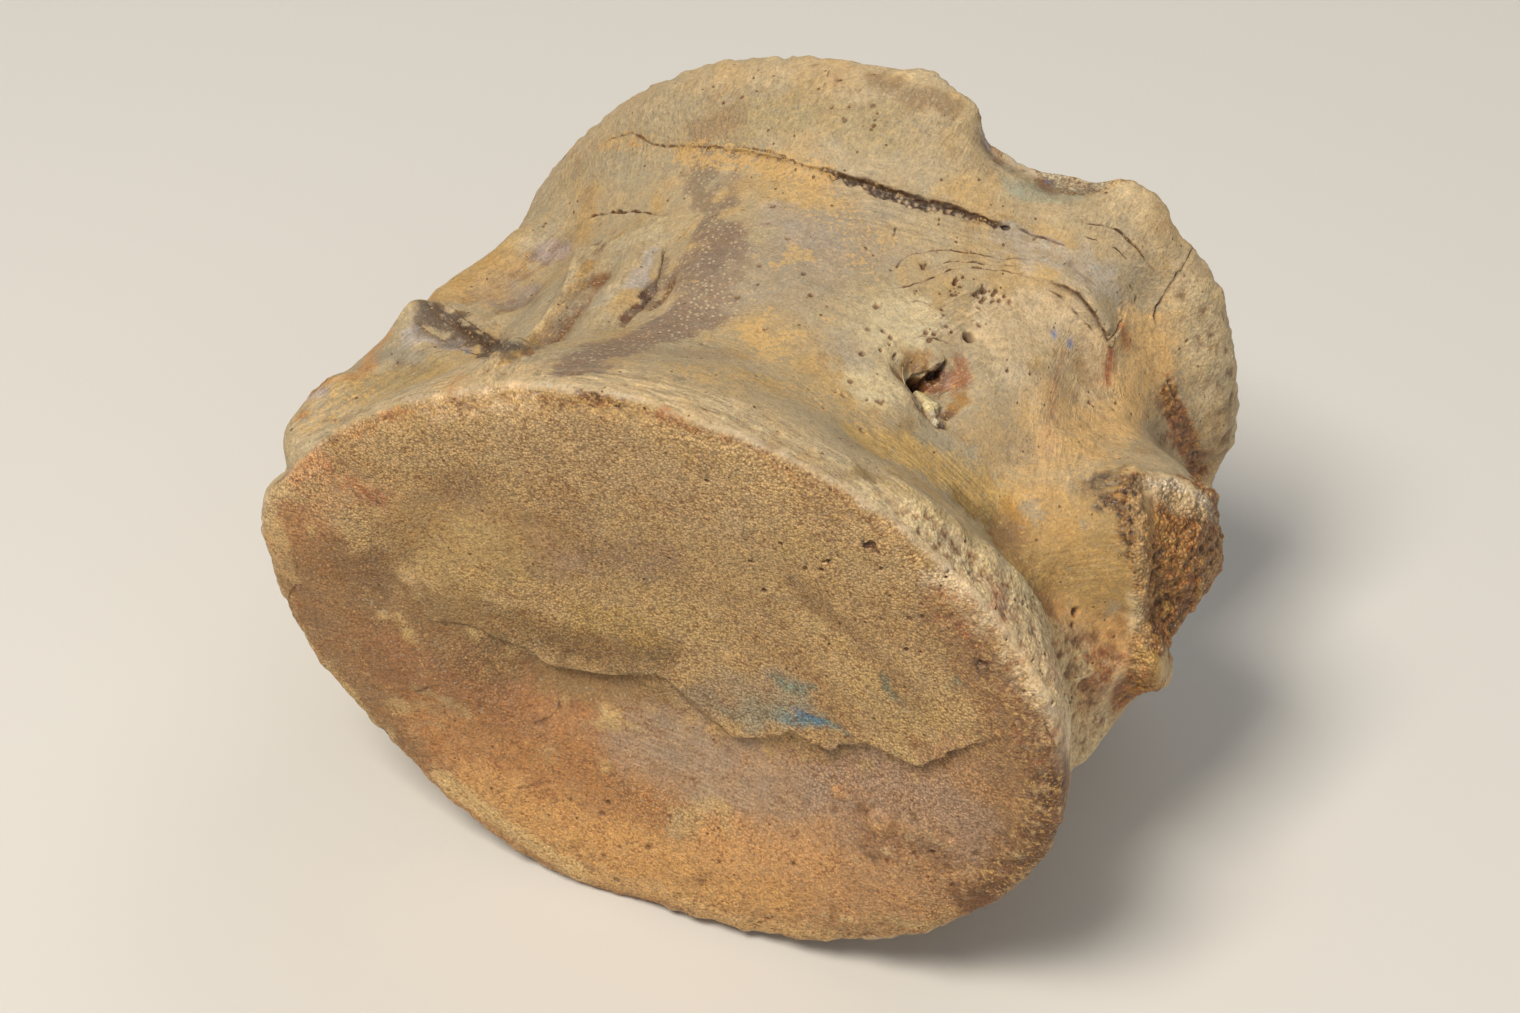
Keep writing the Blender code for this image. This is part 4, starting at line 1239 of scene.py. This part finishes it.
# streaked places: spots that give the streaks' run, reach in millimetres and strength
streakAreas = {
    "leftHollow": (((425, 305), (470, 335), (515, 350)), 3.6, 0.8),
    "leftUpper": (((470, 300), (520, 262), (560, 240)), 5.0, 0.5),
    "leftStub": (((300, 430), (360, 375), (420, 362)), 6.0, 0.6),
    "goldenRidge": (((500, 366), (538, 338), (572, 292), (592, 250)), 4.5, 0.8),
    "ridgeTop": (((600, 330), (625, 280), (640, 235)), 4.0, 0.5),
    "firstHoleLines": (((922, 412), (912, 432), (902, 452)), 2.6, 1.0),
    "firstHoleSlope": (((922, 388), (945, 378), (968, 360)), 3.0, 0.8),
    "poreField": (((940, 325), (975, 300), (1000, 285)), 3.5, 0.8),
    "rightArcs": (((1050, 275), (1085, 300), (1108, 345)), 5.5, 0.7),
    "underCrack": (((850, 200), (930, 225), (1020, 245)), 5.0, 0.5),
    "oliveValley": (((885, 440), (950, 480), (1020, 545), (1060, 600)), 4.5, 0.8),
    "stubTop": (((1075, 492), (1105, 484), (1140, 482)), 3.6, 1.0),
    "stubFace": (((1045, 560), (1085, 552), (1130, 548)), 6.0, 0.5),
    "bulgeDown": (((1075, 360), (1070, 410), (1065, 470)), 6.0, 0.6),
    "redRun": (((1112, 345), (1110, 385)), 3.0, 0.8),
    "lobe": (((1150, 340), (1180, 420), (1205, 475)), 4.0, 0.5),
    "underStub": (((1090, 690), (1135, 672)), 3.0, 0.7),
    "faceScratches": (((620, 735), (700, 765), (780, 800)), 5.0, 0.5),
    "faceLeftShade": (((340, 640), (430, 690), (530, 740)), 5.0, 0.3),
}


# how the named colours spread: colour, where and how strongly, then the mix of patterns that
# places it and the values of the mix at which it starts and is full
groundRules = (
    ("barkGrey", "all", 0.8, {"broad": 1, "patch": 0.5, "medium": 0.3}, 0.0, 0.5),
    ("barkOchre", "all", 0.75, {"broad": -1, "patch": 0.5, "small": 0.3}, 0.1, 0.6),
    ("barkBrown", "all", 0.5, {"patch": 1, "medium": 0.5, "small": 0.3}, 0.45, 0.9),
    ("underneath", "all", 0.7, {"height": 1, "broad": 4}, 28, 8),
    ("band", "banded", 1),
    ("bandRust", "bands", 0.5, {"patch": 1, "small": 0.5}, 0.45, 0.9),
    ("face", "faces", 1),
    ("faceBrown", "faces", 0.55, {"broad": 1, "medium": 0.4}, 0.0, 0.6),
    ("faceOlive", "faces", 0.5, {"broad": -1, "patch": 0.4, "small": 0.2}, 0.1, 0.6),
    ("faceMauve", "faces", 0.4, {"patch": 1, "medium": -0.4}, 0.15, 0.7),
)
rimRules = (
    ("rimSpot", "spotted", 0.6, {"small": 1, "bits": 0.6, "patch": 0.4}, 0.4, 0.8),
    ("rimPit", "spotted", 0.75, {"small": -1, "bits": 0.6}, 0.6, 0.95),
    ("edge", "rimEdge", 0.45, {"medium": 1, "bits": 0.5}, -0.5, 0.4),
)
# straw band with red-brown pits, broken bone, the gritty fill
roughRules = (
    ("straw", "pitted", 0.75, {"patch": 1, "small": 0.4}, -0.7, 0.1),
    ("strawPit", "pitted", 0.45, {"proud": 1}, -0.01, -0.07),
    ("rimSpot", "pitted", 0.35, {"small": 1, "bits": 0.7, "patch": -0.3}, 0.55, 0.85),
    ("break", "broken", 1),
    ("breakOchre", "broken", 0.75, {"crumbTone": 1, "patch": 0.5}, 0.5, 0.8),
    ("breakRust", "broken", 0.7, {"spongyTone": 1, "patch": -0.4}, 0.5, 0.75),
    # grime and painted shade in the hollows of the broken bone
    ("breakDark", "broken", 0.85, {"proud": 1}, -0.03, -0.12),
    ("worn", "wornBreak", 0.6, {"spongyTone": 1}, 0.4, 0.8),
    ("fillMiddle", "fill", 0.8),
    ("fillDark", "fill", 0.85, {"fillTone": 1}, 0.24, 0.10),
    ("fillLight", "fill", 0.85, {"fillTone": 1}, 0.34, 0.5),
)
# crumbs, dirt with painted shade in small recesses, and wear, then cracks, painted shadow under ledges and
# painted shade in pits
lateRules = (
    ("rust", "rusty", 0.7, {"specks": 1, "bits": 0.6, "patch": -0.25}, 0.2, 0.45),
    ("charcoal", "black", 0.95, {"specks": 1, "bits": 0.5}, 0.1, 0.3),
    # dirt and painted shade in the small recesses
    ("dirt", "whole", 0.75, {"proud": 1}, -0.025, -0.14),
    ("worn", "rubbed", 1),
    # dirt and painted shade along the cracks and the fill's shadow line
    ("dirt", "crack", 0.65),
    ("crack", "crack", 0.75, {"bits": 1, "fine": 0.6}, -0.3, 0.4),
    # painted shadow under the ledges
    ("crack", "ledge", 0.6),
    # painted shade in pits and holes, darker the deeper they are
    ("rimPit", "all", 0.6, {"inHole": 1}, 0.05, 0.5),
    ("pit", "all", 0.85, {"inHole": 1}, 0.6, 1.0),
)
painting = {
    # widths along the rims in millimetres: where wear is weaker, and the pale edge
    "lessWorn": 1.3,
    "paleEdge": 0.5,
    # how much darker wide hollows are, as old dirt and painted shade, and how much lighter wide swellings,
    # as painted light
    "hollowShade": 0.16,
    "swellingLight": 0.08,
    "crumbShare": 0.45,  # how crumby the crumbly face and the pitted band are
}
streaking = {
    "stretch": 0.12,  # how fast streaks change along their run, as a share of that across it
    # strengths at the waist, behind the far rim and round the near rim
    "waist": 0.12,
    "farSide": 0.6,
    "rim": 0.9,
    "lean": 0.7,  # how much the rim's streaks spread outwards
    "run": 0.9,  # share of the way along its run that a streaked place leaves out
}


def paint(mesh):
    # the colours of each point, how grainy, pitted, crumbly and flecked it is there, and
    # which way its streaks run
    count = len(places)
    normals, grid = zones["normals"], zones["warped"]
    near, far, faces, proudness = (zones[name] for name in ("near", "far", "faces", "proud"))
    pitted, broken = zones["pitted"], zones["broken"]
    zones.update({name: noise(name, grid) for name in ("broad", "patch")})
    zones.update({name: noise(name, places) for name in ("bits", "sway", "specks")})
    small, medium, patch, bits, sway = (zones[name] for name in ("small", "medium", "patch", "bits", "sway"))
    bark = (1 - faces) * (1 - broken)
    lessWorn = painting["lessWorn"]
    onEdge = np.exp(-((near / lessWorn) ** 2)) + np.exp(-((far / lessWorn) ** 2))
    zones["banded"] = zones["bands"] * (0.55 + 0.3 * patch)
    zones["wornBreak"] = broken * ease(proudness, 0.08, 0.16)
    zones["rusty"] = field(rustCrumbs, grid, normals)
    zones["black"] = field(blackCrumbs, grid, normals)
    zones["whole"] = 1 - np.maximum(broken, zones["fill"])
    rubbed = zones["whole"] * ease(proudness, 0.04, 0.16) * (0.34 + 0.25 * small)
    zones["rubbed"] = rubbed * (1 - 0.6 * onEdge)
    colour = np.empty((count, 3))
    colour[:] = linear(grounds["bark"])[:3]

    def blend(hexColour, share):
        # mixes a ground colour in
        colour[:] += (np.array(linear(hexColour)[:3]) - colour) * np.clip(share, 0, 1)[:, None]

    def lay(hexColour, share):
        # lays a colour over the ground, as paint with a cover of its own
        share = np.clip(share, 0, 1)
        cover[:] = cover * (1 - share) + share
        part = np.where(cover > 0, share / np.maximum(cover, 1e-6), 0)
        stain[:] += (np.array(linear(hexColour)[:3]) - stain) * part[:, None]

    def spreadOf(where, strength, mix=None, start=0, full=1):
        # how much of a rule's colour each point gets
        if mix is None:
            return zones[where] * strength
        return zones[where] * ease(summed(mix, zones), start, full) * strength

    def follow(rules, laying):
        for name, *rule in rules:
            laying(grounds[name], spreadOf(*rule))

    def stainedBy(spots, reach, hexColour, strength, ragged):
        line = traced(boneTree, spots)
        picked, gap, along, side = nearLine(grid, normals, line, 1.4 * reach + 1.3 * ragged)
        gap = gap + ragged * (0.6 * medium[picked] + 0.6 * small[picked] + 0.3 * bits[picked])
        gap = gap + reach * (0.2 * sway[picked] + 0.12 * patch[picked])
        share = np.zeros(count)
        uneven = 0.93 + 0.22 * small[picked] + 0.16 * sway[picked]
        share[picked] = ease(gap, reach * 1.05, reach * 0.4) * strength * np.clip(uneven, 0.2, 1.1)
        lay(hexColour, share)

    follow(groundRules, blend)
    stain = colour.copy()
    cover = np.zeros(count)
    for stainRow in (stains | hiddenStains).values():
        stainedBy(*stainRow)
    for edge in (near, far):
        zones["spotted"] = between(edge, 0.0, 0.6, 1.0, 4.5) * faces
        zones["rimEdge"] = np.exp(-((edge / painting["paleEdge"]) ** 2))
        follow(rimRules, lay)
    follow(roughRules, lay)
    for stainRow in lateStains.values():
        stainedBy(*stainRow)
    follow(lateRules, lay)
    # soft darkening in the wide hollows, of old dirt and painted shade, and painted light on the wide
    # swellings
    shade = 1 - painting["hollowShade"] * ease(zones["proudWide"], -0.05, -0.5)
    shade = shade + painting["swellingLight"] * ease(zones["proudWide"], 0.05, 0.5)
    colour *= shade[:, None]

    def store(name, values, kind="FLOAT_COLOR", part="color"):
        layer = mesh.attributes.new(name, kind, "POINT")
        layer.data.foreach_set(part, values.astype(np.float32).ravel())

    # streaks run along the bone at the waist, round the near rim and as streakAreas says
    flow = places * (1.0, streaking["stretch"], 1.0)
    waist = ease(np.abs(places[:, 1]), 26, 12)
    farSide = between(far, -16.0, -10.0, -4.0, -1.5) * ease(places[:, 1], 5, 14)
    streaks = (streaking["waist"] * waist + streaking["farSide"] * farSide) * bark
    radius, angle = facing(places[:, 0], places[:, 2])
    turn, stretch = np.radians(angle), streaking["stretch"]
    lean = places[:, 1] + streaking["lean"] * radius
    ring = np.stack((np.cos(turn) * radius * stretch, np.sin(turn) * radius * stretch, lean), axis=1)
    onRing = between(near, -6.5, -4.0, -1.0, -0.2) * (1 - pitted) * bark
    flow[onRing > 0] = ring[onRing > 0]
    streaks = np.where(onRing > 0, streaking["rim"] * onRing, streaks)
    for spots, reach, strength in streakAreas.values():
        line = traced(boneTree, spots)
        picked, gap, along, side = nearLine(places, normals, line, reach * 1.8)
        uneven = gap + 0.3 * medium[picked]
        streaks[picked] *= ease(uneven, reach * 1.1, reach * 1.7)
        share = strength * ease(uneven, reach * 1.05, reach * 0.5)
        picked, share = picked[uneven < reach * 1.1], share[uneven < reach * 1.1]
        run = line[-1] - line[0]
        run = run / np.linalg.norm(run)
        flow[picked] = places[picked] - streaking["run"] * (places[picked] @ run)[:, None] * run
        streaks[picked] = share

    gritty = painting["crumbShare"] * zones["crumbly"] + painting["crumbShare"] * pitted
    grain = faces * (1 - 0.6 * field(smoothFace, places, normals)) * (1 - 0.5 * zones["crumbly"])
    store("tint", np.column_stack((colour, np.ones(count))))
    store("stain", np.column_stack((stain, cover)))
    store("make", np.column_stack((grain, np.clip(broken + gritty, 0, 1), faces, np.ones(count))))
    flecked = np.maximum(field(ochreFlecks, grid, normals), 0.12 * bark * (1 + 0.6 * patch) + 0.1 * faces)
    stippled = field(stippledBark, grid, normals) * bark
    glossy = np.clip(field(glossyBone, places, normals) + 0.5 * broken, 0, 1)
    store("spread", np.column_stack((flecked, stippled, glossy, streaks)))
    store("flow", flow, "FLOAT_VECTOR", "vector")


# areas of the bark and end faces that are smooth, flecked, crumby, stippled or glossy: lines of
# spots, reach in millimetres, strength
smoothFace = {
    "underLedge": (((560, 700), (660, 745), (760, 780)), 7.0, 1.0),
    "left": (((400, 690), (480, 740), (560, 790)), 8.0, 0.85),
    "low": (((480, 800), (600, 850), (740, 875), (860, 860)), 8.0, 0.75),
    "farLeft": (((310, 560), (350, 640), (430, 600)), 8.0, 0.6),
    "patch": (((430, 530), (520, 540)), 7.0, 0.7),
    "hidden": (((-5, 36, 32), (15, 36, 28)), 8.0, 0.9),
}
ochreFlecks = {
    "underCrack": (((684, 153), (740, 160), (822, 174)), 2.0, 1.0),
    "belowCrack": (((790, 185), (840, 215), (870, 236)), 4.0, 0.55),
    "star": (((792, 252), (806, 256)), 1.5, 1.15),
    "starTail": (((776, 266), (790, 260)), 1.0, 1.0),
    "pair": (((856, 262), (868, 268)), 1.3, 0.9),
    "cluster": (((750, 328), (760, 342), (768, 356)), 1.7, 1.1),
    "clusterArm": (((776, 342), (800, 332)), 0.9, 1.0),
    "small": (((764, 315),), 0.9, 0.9),
    "smallRight": (((828, 318),), 1.1, 0.9),
    "aboveRim": (((690, 370), (760, 384), (840, 406)), 4.0, 0.72),
    "bulge": (((1010, 400), (1040, 460), (1030, 480)), 3.5, 0.35),
    "ridge": (((540, 345), (580, 300), (600, 230)), 3.0, 0.25),
    "leftStub": (((310, 420), (360, 385)), 3.0, 0.6),
    "faceDots": (((610, 615), (640, 628)), 3.0, 0.6),
    "faceTop": (((455, 510), (500, 505)), 3.0, 0.5),
    "rimTop": (((400, 420), (480, 402), (560, 398), (640, 412)), 1.3, 0.8),
    "rightRim": (((1046, 790), (1030, 850), (990, 885)), 3.2, 0.5),
    "rightFace": (((940, 620), (990, 680), (1010, 740)), 6.0, 0.45),
    "paleRim": (((440, 790), (500, 840), (570, 880)), 2.2, 0.8),
    "hiddenFace": (((-30, 36, 60), (-10, 36, 66)), 5.0, 0.6),
    "hiddenFaceLow": (((10, 36, 16), (28, 36, 24)), 4.0, 0.7),
    "hiddenLeft": (((-45, 10, 50), (-43, 14, 36)), 3.0, 0.9),
    "hiddenRight": (((45, 14, 40), (43, 16, 28)), 3.0, 0.9),
    "hiddenUnder": (((-22, 0, 9), (-12, 6, 7)), 3.0, 0.9),
}
blackCrumbs = {
    "stub": (((1108, 503), (1120, 511), (1134, 498)), 1.9, 1.0),
    "stubLow": (((1126, 524), (1126, 545), (1128, 562)), 0.9, 0.8),
    "stubTop": (((1096, 484), (1118, 480), (1140, 484)), 1.3, 0.6),
    "seam": (((1168, 386), (1178, 420), (1197, 466)), 1.3, 0.7),
    "rim": (((584, 398), (620, 405)), 0.9, 0.8),
    "rimTop": (((444, 404), (458, 408)), 0.8, 0.6),
    "facePit": (((868, 545), (880, 553)), 1.0, 0.9),
    "facePitLow": (((980, 662), (990, 672)), 1.0, 0.8),
    "rightRim": (((1052, 790), (1040, 835), (1000, 880)), 3.5, 0.6),
    "rightRimUp": (((1020, 700), (1050, 740)), 3.0, 0.35),
    "lowRight": (((870, 830), (930, 850)), 2.2, 0.25),
    "hiddenRim": (((-40, 36, 58), (-26, 36, 72)), 3.0, 0.6),
    "hiddenLow": (((-20, 36, 6), (18, 36, 4)), 3.0, 0.5),
}
rustCrumbs = {
    "underStub": (((1062, 640), (1098, 668), (1130, 688)), 4.2, 1.0),
    "band": (((1000, 600), (1040, 650), (1070, 700)), 3.0, 0.6),
    "faceRight": (((955, 615), (1010, 690), (1048, 760)), 4.0, 0.8),
    "rimLeft": (((300, 480), (340, 447), (400, 419), (452, 405)), 1.6, 0.6),
    "rimTop": (((452, 404), (520, 398), (600, 402), (680, 424)), 0.8, 0.8),
    "faceSpeck": (((345, 485), (384, 501)), 1.6, 0.8),
    "faceLow": (((430, 740), (520, 790), (620, 850)), 5.0, 0.45),
    "lowRight": (((860, 825), (930, 850), (980, 860)), 3.0, 0.4),
    "seam": (((1166, 380), (1180, 420), (1200, 470)), 2.0, 0.6),
    "hiddenRim": (((44, 36, 30), (48, 36, 46), (40, 36, 62)), 3.0, 0.7),
    "hiddenLow": (((-38, 36, 26), (-28, 36, 14)), 4.0, 0.7),
}
stippledBark = {
    "secondHole": (((590, 352), (650, 335), (700, 300), (712, 230)), 6.5, 1.0),
    "top": (((700, 180), (735, 230)), 5.0, 0.7),
    "hidden": (((-38, 0, 22), (-30, 4, 14)), 9.0, 0.8),
}
glossyBone = {
    "firstHole": (((925, 375), (955, 380), (950, 405)), 4.5, 1.0),
    "stubTop": (((1085, 485), (1135, 490)), 2.5, 0.8),
    "secondHole": (((640, 270), (632, 300)), 3.0, 0.6),
    "leftHollow": (((430, 318), (500, 352)), 2.5, 0.5),
}

paint(bone.data)
print("painted")

finish = {
    "triangles": 194000,
    # noises: size in millimetres, detail and roughness
    "noises": {
        "speck": (0.3, 2, 0.6),
        "freckle": (0.55, 3, 0.66),
        "fleck": (1.3, 5, 0.68),
        "mottle": (3.2, 4, 0.62),
    },
    "streak": (0.42, 3, 0.6),
    # cells: size in millimetres; the real grain of the end faces is about 0.35
    "cells": {"grain": 0.31, "pore": 1.25, "dot": 0.72, "crumb": 0.42},
    # a pattern, its values at two ends and what they become there
    "ranges": {
        "cloud": ("fleck", 0.3, 0.7, 0.82, 1.15),
        "tones": ("freckle", 0.3, 0.7, 0.86, 1.13),
        "poreSize": ("poreTone", 0.62, 1.0, 0.0, 0.2),
        "lines": ("streak", 0.34, 0.66, 0.68, 1.24),
        # dark gaps between granules, partly painted shade
        "grainGapShade": ("grain", 0.2, 0.75, 1.16, 0.6),
        "granuleTone": ("grainTone", 0.0, 1.0, 0.83, 1.24),
        "rust": ("grainTone", 0.2, 0.12, 0.0, 0.6),
        "patchy": ("mottle", 0.42, 0.58, 0.25, 1.0),
        "crumbShade": ("crumb", 0.2, 0.8, 1.18, 0.6),
        "crumbLight": ("crumbTone", 0.0, 1.0, 0.68, 1.32),
        "specks": ("speck", 0.25, 0.75, 0.8, 1.2),
        "rough": ("fleck", 0.3, 0.7, 0.66, 0.52),
        "granules": ("grain", 0.15, 0.8, 0.11, 0.0),
        "crumbRelief": ("crumb", 0.1, 0.9, 0.26, 0.0),
    },
    # the same, with a soft curve between the ends
    "softRanges": {
        "pale": ("freckle", 0.40, 0.34, 0.0, 0.35),
        "dark": ("speck", 0.36, 0.27, 0.0, 0.45),
        "dots": ("dot", 0.36, 0.2, 0.0, 1.0),
    },
    "stainBorder": (0.98, 1.68),
    "ochreFlecks": (0.81, 0.86),
    "poreEdge": (-0.13, -0.05),
    "hueEnds": (0.36, 0.64),
    # shares of the colour mixes
    "hueShare": 0.55,
    "ochreShare": 0.7,
    "dotShare": 0.7,
    # what end faces and glossy places add to the roughness
    "facesMatt": 0.24,
    "polish": -0.22,
    # relief in millimetres
    "relief": {
        "speck": 0.06, "freckle": 0.1, "fleck": 0.22, "streak": 0.30, "dot": 0.05, "pore": -0.12,
    },
    "colours": {
        "cool": "#b6b7b1",
        "warm": "#cdba9b",
        "ochre": "#c9a366",
        "pale": "#bdb19a",
        "dark": "#75593c",
        "pore": "#7a5a3a",
        "dot": "#c6b08c",
        "rust": "#7f5233",
    },
}


def thinned(piece, wanted):
    # fewer, unevenly spread triangles: most where the surface is most uneven
    count = sum(len(p.vertices) - 2 for p in piece.data.polygons)
    thin = piece.modifiers.new("thin", "DECIMATE")
    thin.ratio = min(1, wanted / count)
    piece.data = evaluated(piece)
    piece.data.name = piece.name


def node(tree, kind, links=(), out=0, **settings):
    # adds a node with its settings and what feeds its inputs, and returns one of its outputs
    made = tree.nodes.new("ShaderNode" + kind)
    for name, value in settings.items():
        setattr(made, name, value)
    for name, source in dict(links).items():
        if isinstance(source, bpy.types.NodeSocket):
            tree.links.new(source, made.inputs[name])
        else:
            made.inputs[name].default_value = source
    return made.outputs[out]


def fossilBone():
    # mineralised bone: matt and granular where the cartilage was, satin, flecked and streaked
    # on the bark, wormy round the near rim, crumbly and a little glossy where it is broken
    material = bpy.data.materials.new("weathered fossil bone")
    material.use_nodes = True
    tree = material.node_tree
    shader = tree.nodes["Principled BSDF"]
    mixed = {"data_type": "RGBA", "out": 2}
    times = {"data_type": "RGBA", "blend_type": "MULTIPLY", "out": 2}
    softly = {"data_type": "RGBA", "blend_type": "SOFT_LIGHT", "out": 2}
    smooth = {"interpolation_type": "SMOOTHSTEP"}
    product = {"operation": "MULTIPLY"}
    addition = {"operation": "MULTIPLY_ADD"}
    shades = {name: linear(value) for name, value in finish["colours"].items()}
    heights = finish["relief"]

    # what each point of the mesh says
    spot = node(tree, "TexCoord", out="Object")
    flow = node(tree, "Attribute", attribute_name="flow", out="Vector")
    tint = node(tree, "Attribute", attribute_name="tint", out="Color")
    stain = node(tree, "Attribute", attribute_name="stain", out="Color")
    make = node(tree, "Attribute", attribute_name="make", out="Color")
    spread = node(tree, "Attribute", attribute_name="spread", out="Color")
    grainy, crumbly, onFace = node(tree, "SeparateColor", {0: make}).node.outputs
    flecked, stippled, glossy = node(tree, "SeparateColor", {0: spread}).node.outputs
    cover, streaky = (source.node.outputs["Alpha"] for source in (stain, spread))

    # patterns, and what becomes of them
    made = {}
    for name, (size, detail, roughness) in finish["noises"].items():
        links = {"Vector": spot, "Scale": 1 / (size * mm), "Detail": detail, "Roughness": roughness}
        made[name] = node(tree, "TexNoise", links)
    size, detail, roughness = finish["streak"]
    links = {"Vector": flow, "Scale": 1 / size, "Detail": detail, "Roughness": roughness}
    made["streak"] = node(tree, "TexNoise", links)
    for name, size in finish["cells"].items():
        made[name] = node(tree, "TexVoronoi", {"Vector": spot, "Scale": 1 / (size * mm)})
    for name in ("grain", "pore", "crumb"):
        made[name + "Tone"] = node(tree, "SeparateColor", {0: made[name].node.outputs["Color"]})
    for kind, curve in (("ranges", {}), ("softRanges", smooth)):
        for name, (source, *ends) in finish[kind].items():
            links = {0: made[source]} | dict(enumerate(ends, 1))
            made[name] = node(tree, "MapRange", links, **curve)

    # stains lie over the ground colour and end in flecks of their own
    border = node(tree, "Math", {0: made["fleck"], 1: 0.9, 2: cover}, **addition)
    border = node(tree, "Math", {0: made["freckle"], 1: 0.9, 2: border}, **addition)
    start, full = finish["stainBorder"]
    stained = node(tree, "MapRange", {0: border, 1: start, 2: full}, **smooth)
    # clouds of cooler and warmer bone
    hue = node(tree, "ValToRGB", {0: made["mottle"]})
    for stop, place, shade in zip(hue.node.color_ramp.elements, finish["hueEnds"], ("cool", "warm")):
        stop.position = place
        stop.color = shades[shade]
    # ochre freckles in clusters
    ochre = node(tree, "Math", {0: flecked, 1: 0.24, 2: made["freckle"]}, **addition)
    ochre = node(tree, "Math", {0: made["fleck"], 1: 0.3, 2: ochre}, **addition)
    start, full = finish["ochreFlecks"]
    ochre = node(tree, "MapRange", {0: ochre, 1: start, 2: full, 4: finish["ochreShare"]}, **smooth)
    # pores of uneven size
    uneven = node(tree, "Math", {0: made["speck"], 1: 0.25, 2: made["pore"]}, **addition)
    inPore = node(tree, "Math", {0: made["poreSize"], 1: uneven}, operation="SUBTRACT")
    start, full = finish["poreEdge"]
    inPore = node(tree, "MapRange", {0: inPore, 1: start, 2: full}, **smooth)
    # light dots of the stippled bark
    dots = node(tree, "Math", {0: made["dots"], 1: stippled}, **product)
    dotShare = node(tree, "Math", {0: dots, 1: finish["dotShare"]}, **product)
    # a few granules of red-brown on the end faces
    rust = node(tree, "Math", {0: made["rust"], 1: made["patchy"]}, **product)
    rust = node(tree, "Math", {0: rust, 1: onFace}, **product)

    # the colour from the ground up: share, what lies there and how it mixes
    colour = tint
    for share, layer, how in (
        (stained, stain, mixed),
        (finish["hueShare"], hue, softly),
        (1.0, made["cloud"], times),
        (1.0, made["tones"], times),
        (ochre, shades["ochre"], mixed),
        (made["pale"], shades["pale"], mixed),
        (made["dark"], shades["dark"], mixed),
        (inPore, shades["pore"], mixed),
        (dotShare, shades["dot"], mixed),
        (streaky, made["lines"], times),
        # painted shade in the gaps between granules
        (grainy, made["grainGapShade"], times),
        (grainy, made["granuleTone"], times),
        (rust, shades["rust"], mixed),
        (crumbly, made["crumbShade"], times),
        (crumbly, made["crumbLight"], times),
        (1.0, made["specks"], times),
    ):
        colour = node(tree, "Mix", {0: share, 6: colour, 7: layer}, **how)
    tree.links.new(colour, shader.inputs["Base Color"])

    # roughness: satin bark, matt end faces, a faint polish on the breaks and in the holes
    rough = node(tree, "Math", {0: onFace, 1: finish["facesMatt"], 2: made["rough"]}, **addition)
    rough = node(tree, "Math", {0: glossy, 1: finish["polish"], 2: rough}, **addition)
    tree.links.new(rough, shader.inputs["Roughness"])

    # relief, in millimetres
    lineRelief = node(tree, "Math", {0: made["streak"], 1: heights["streak"]}, **product)
    relief = node(tree, "Math", {0: made["speck"], 1: heights["speck"]}, **product)
    for pattern, rise in (
        (made["freckle"], heights["freckle"]),
        (made["fleck"], heights["fleck"]),
        (made["granules"], grainy),
        (lineRelief, streaky),
        (made["crumbRelief"], crumbly),
        (dots, heights["dot"]),
        (inPore, heights["pore"]),
    ):
        relief = node(tree, "Math", {0: pattern, 1: rise, 2: relief}, **addition)
    bump = node(tree, "Bump", {"Height": relief, "Distance": mm, "Strength": 1.0})
    tree.links.new(bump, shader.inputs["Normal"])
    return material


thinned(bone, finish["triangles"])
bone.data.materials.clear()
bone.data.materials.append(fossilBone())
bone.data.shade_smooth()
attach(bone, "root")
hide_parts("vertebra")
print("finished", len(bone.data.polygons), "triangles")
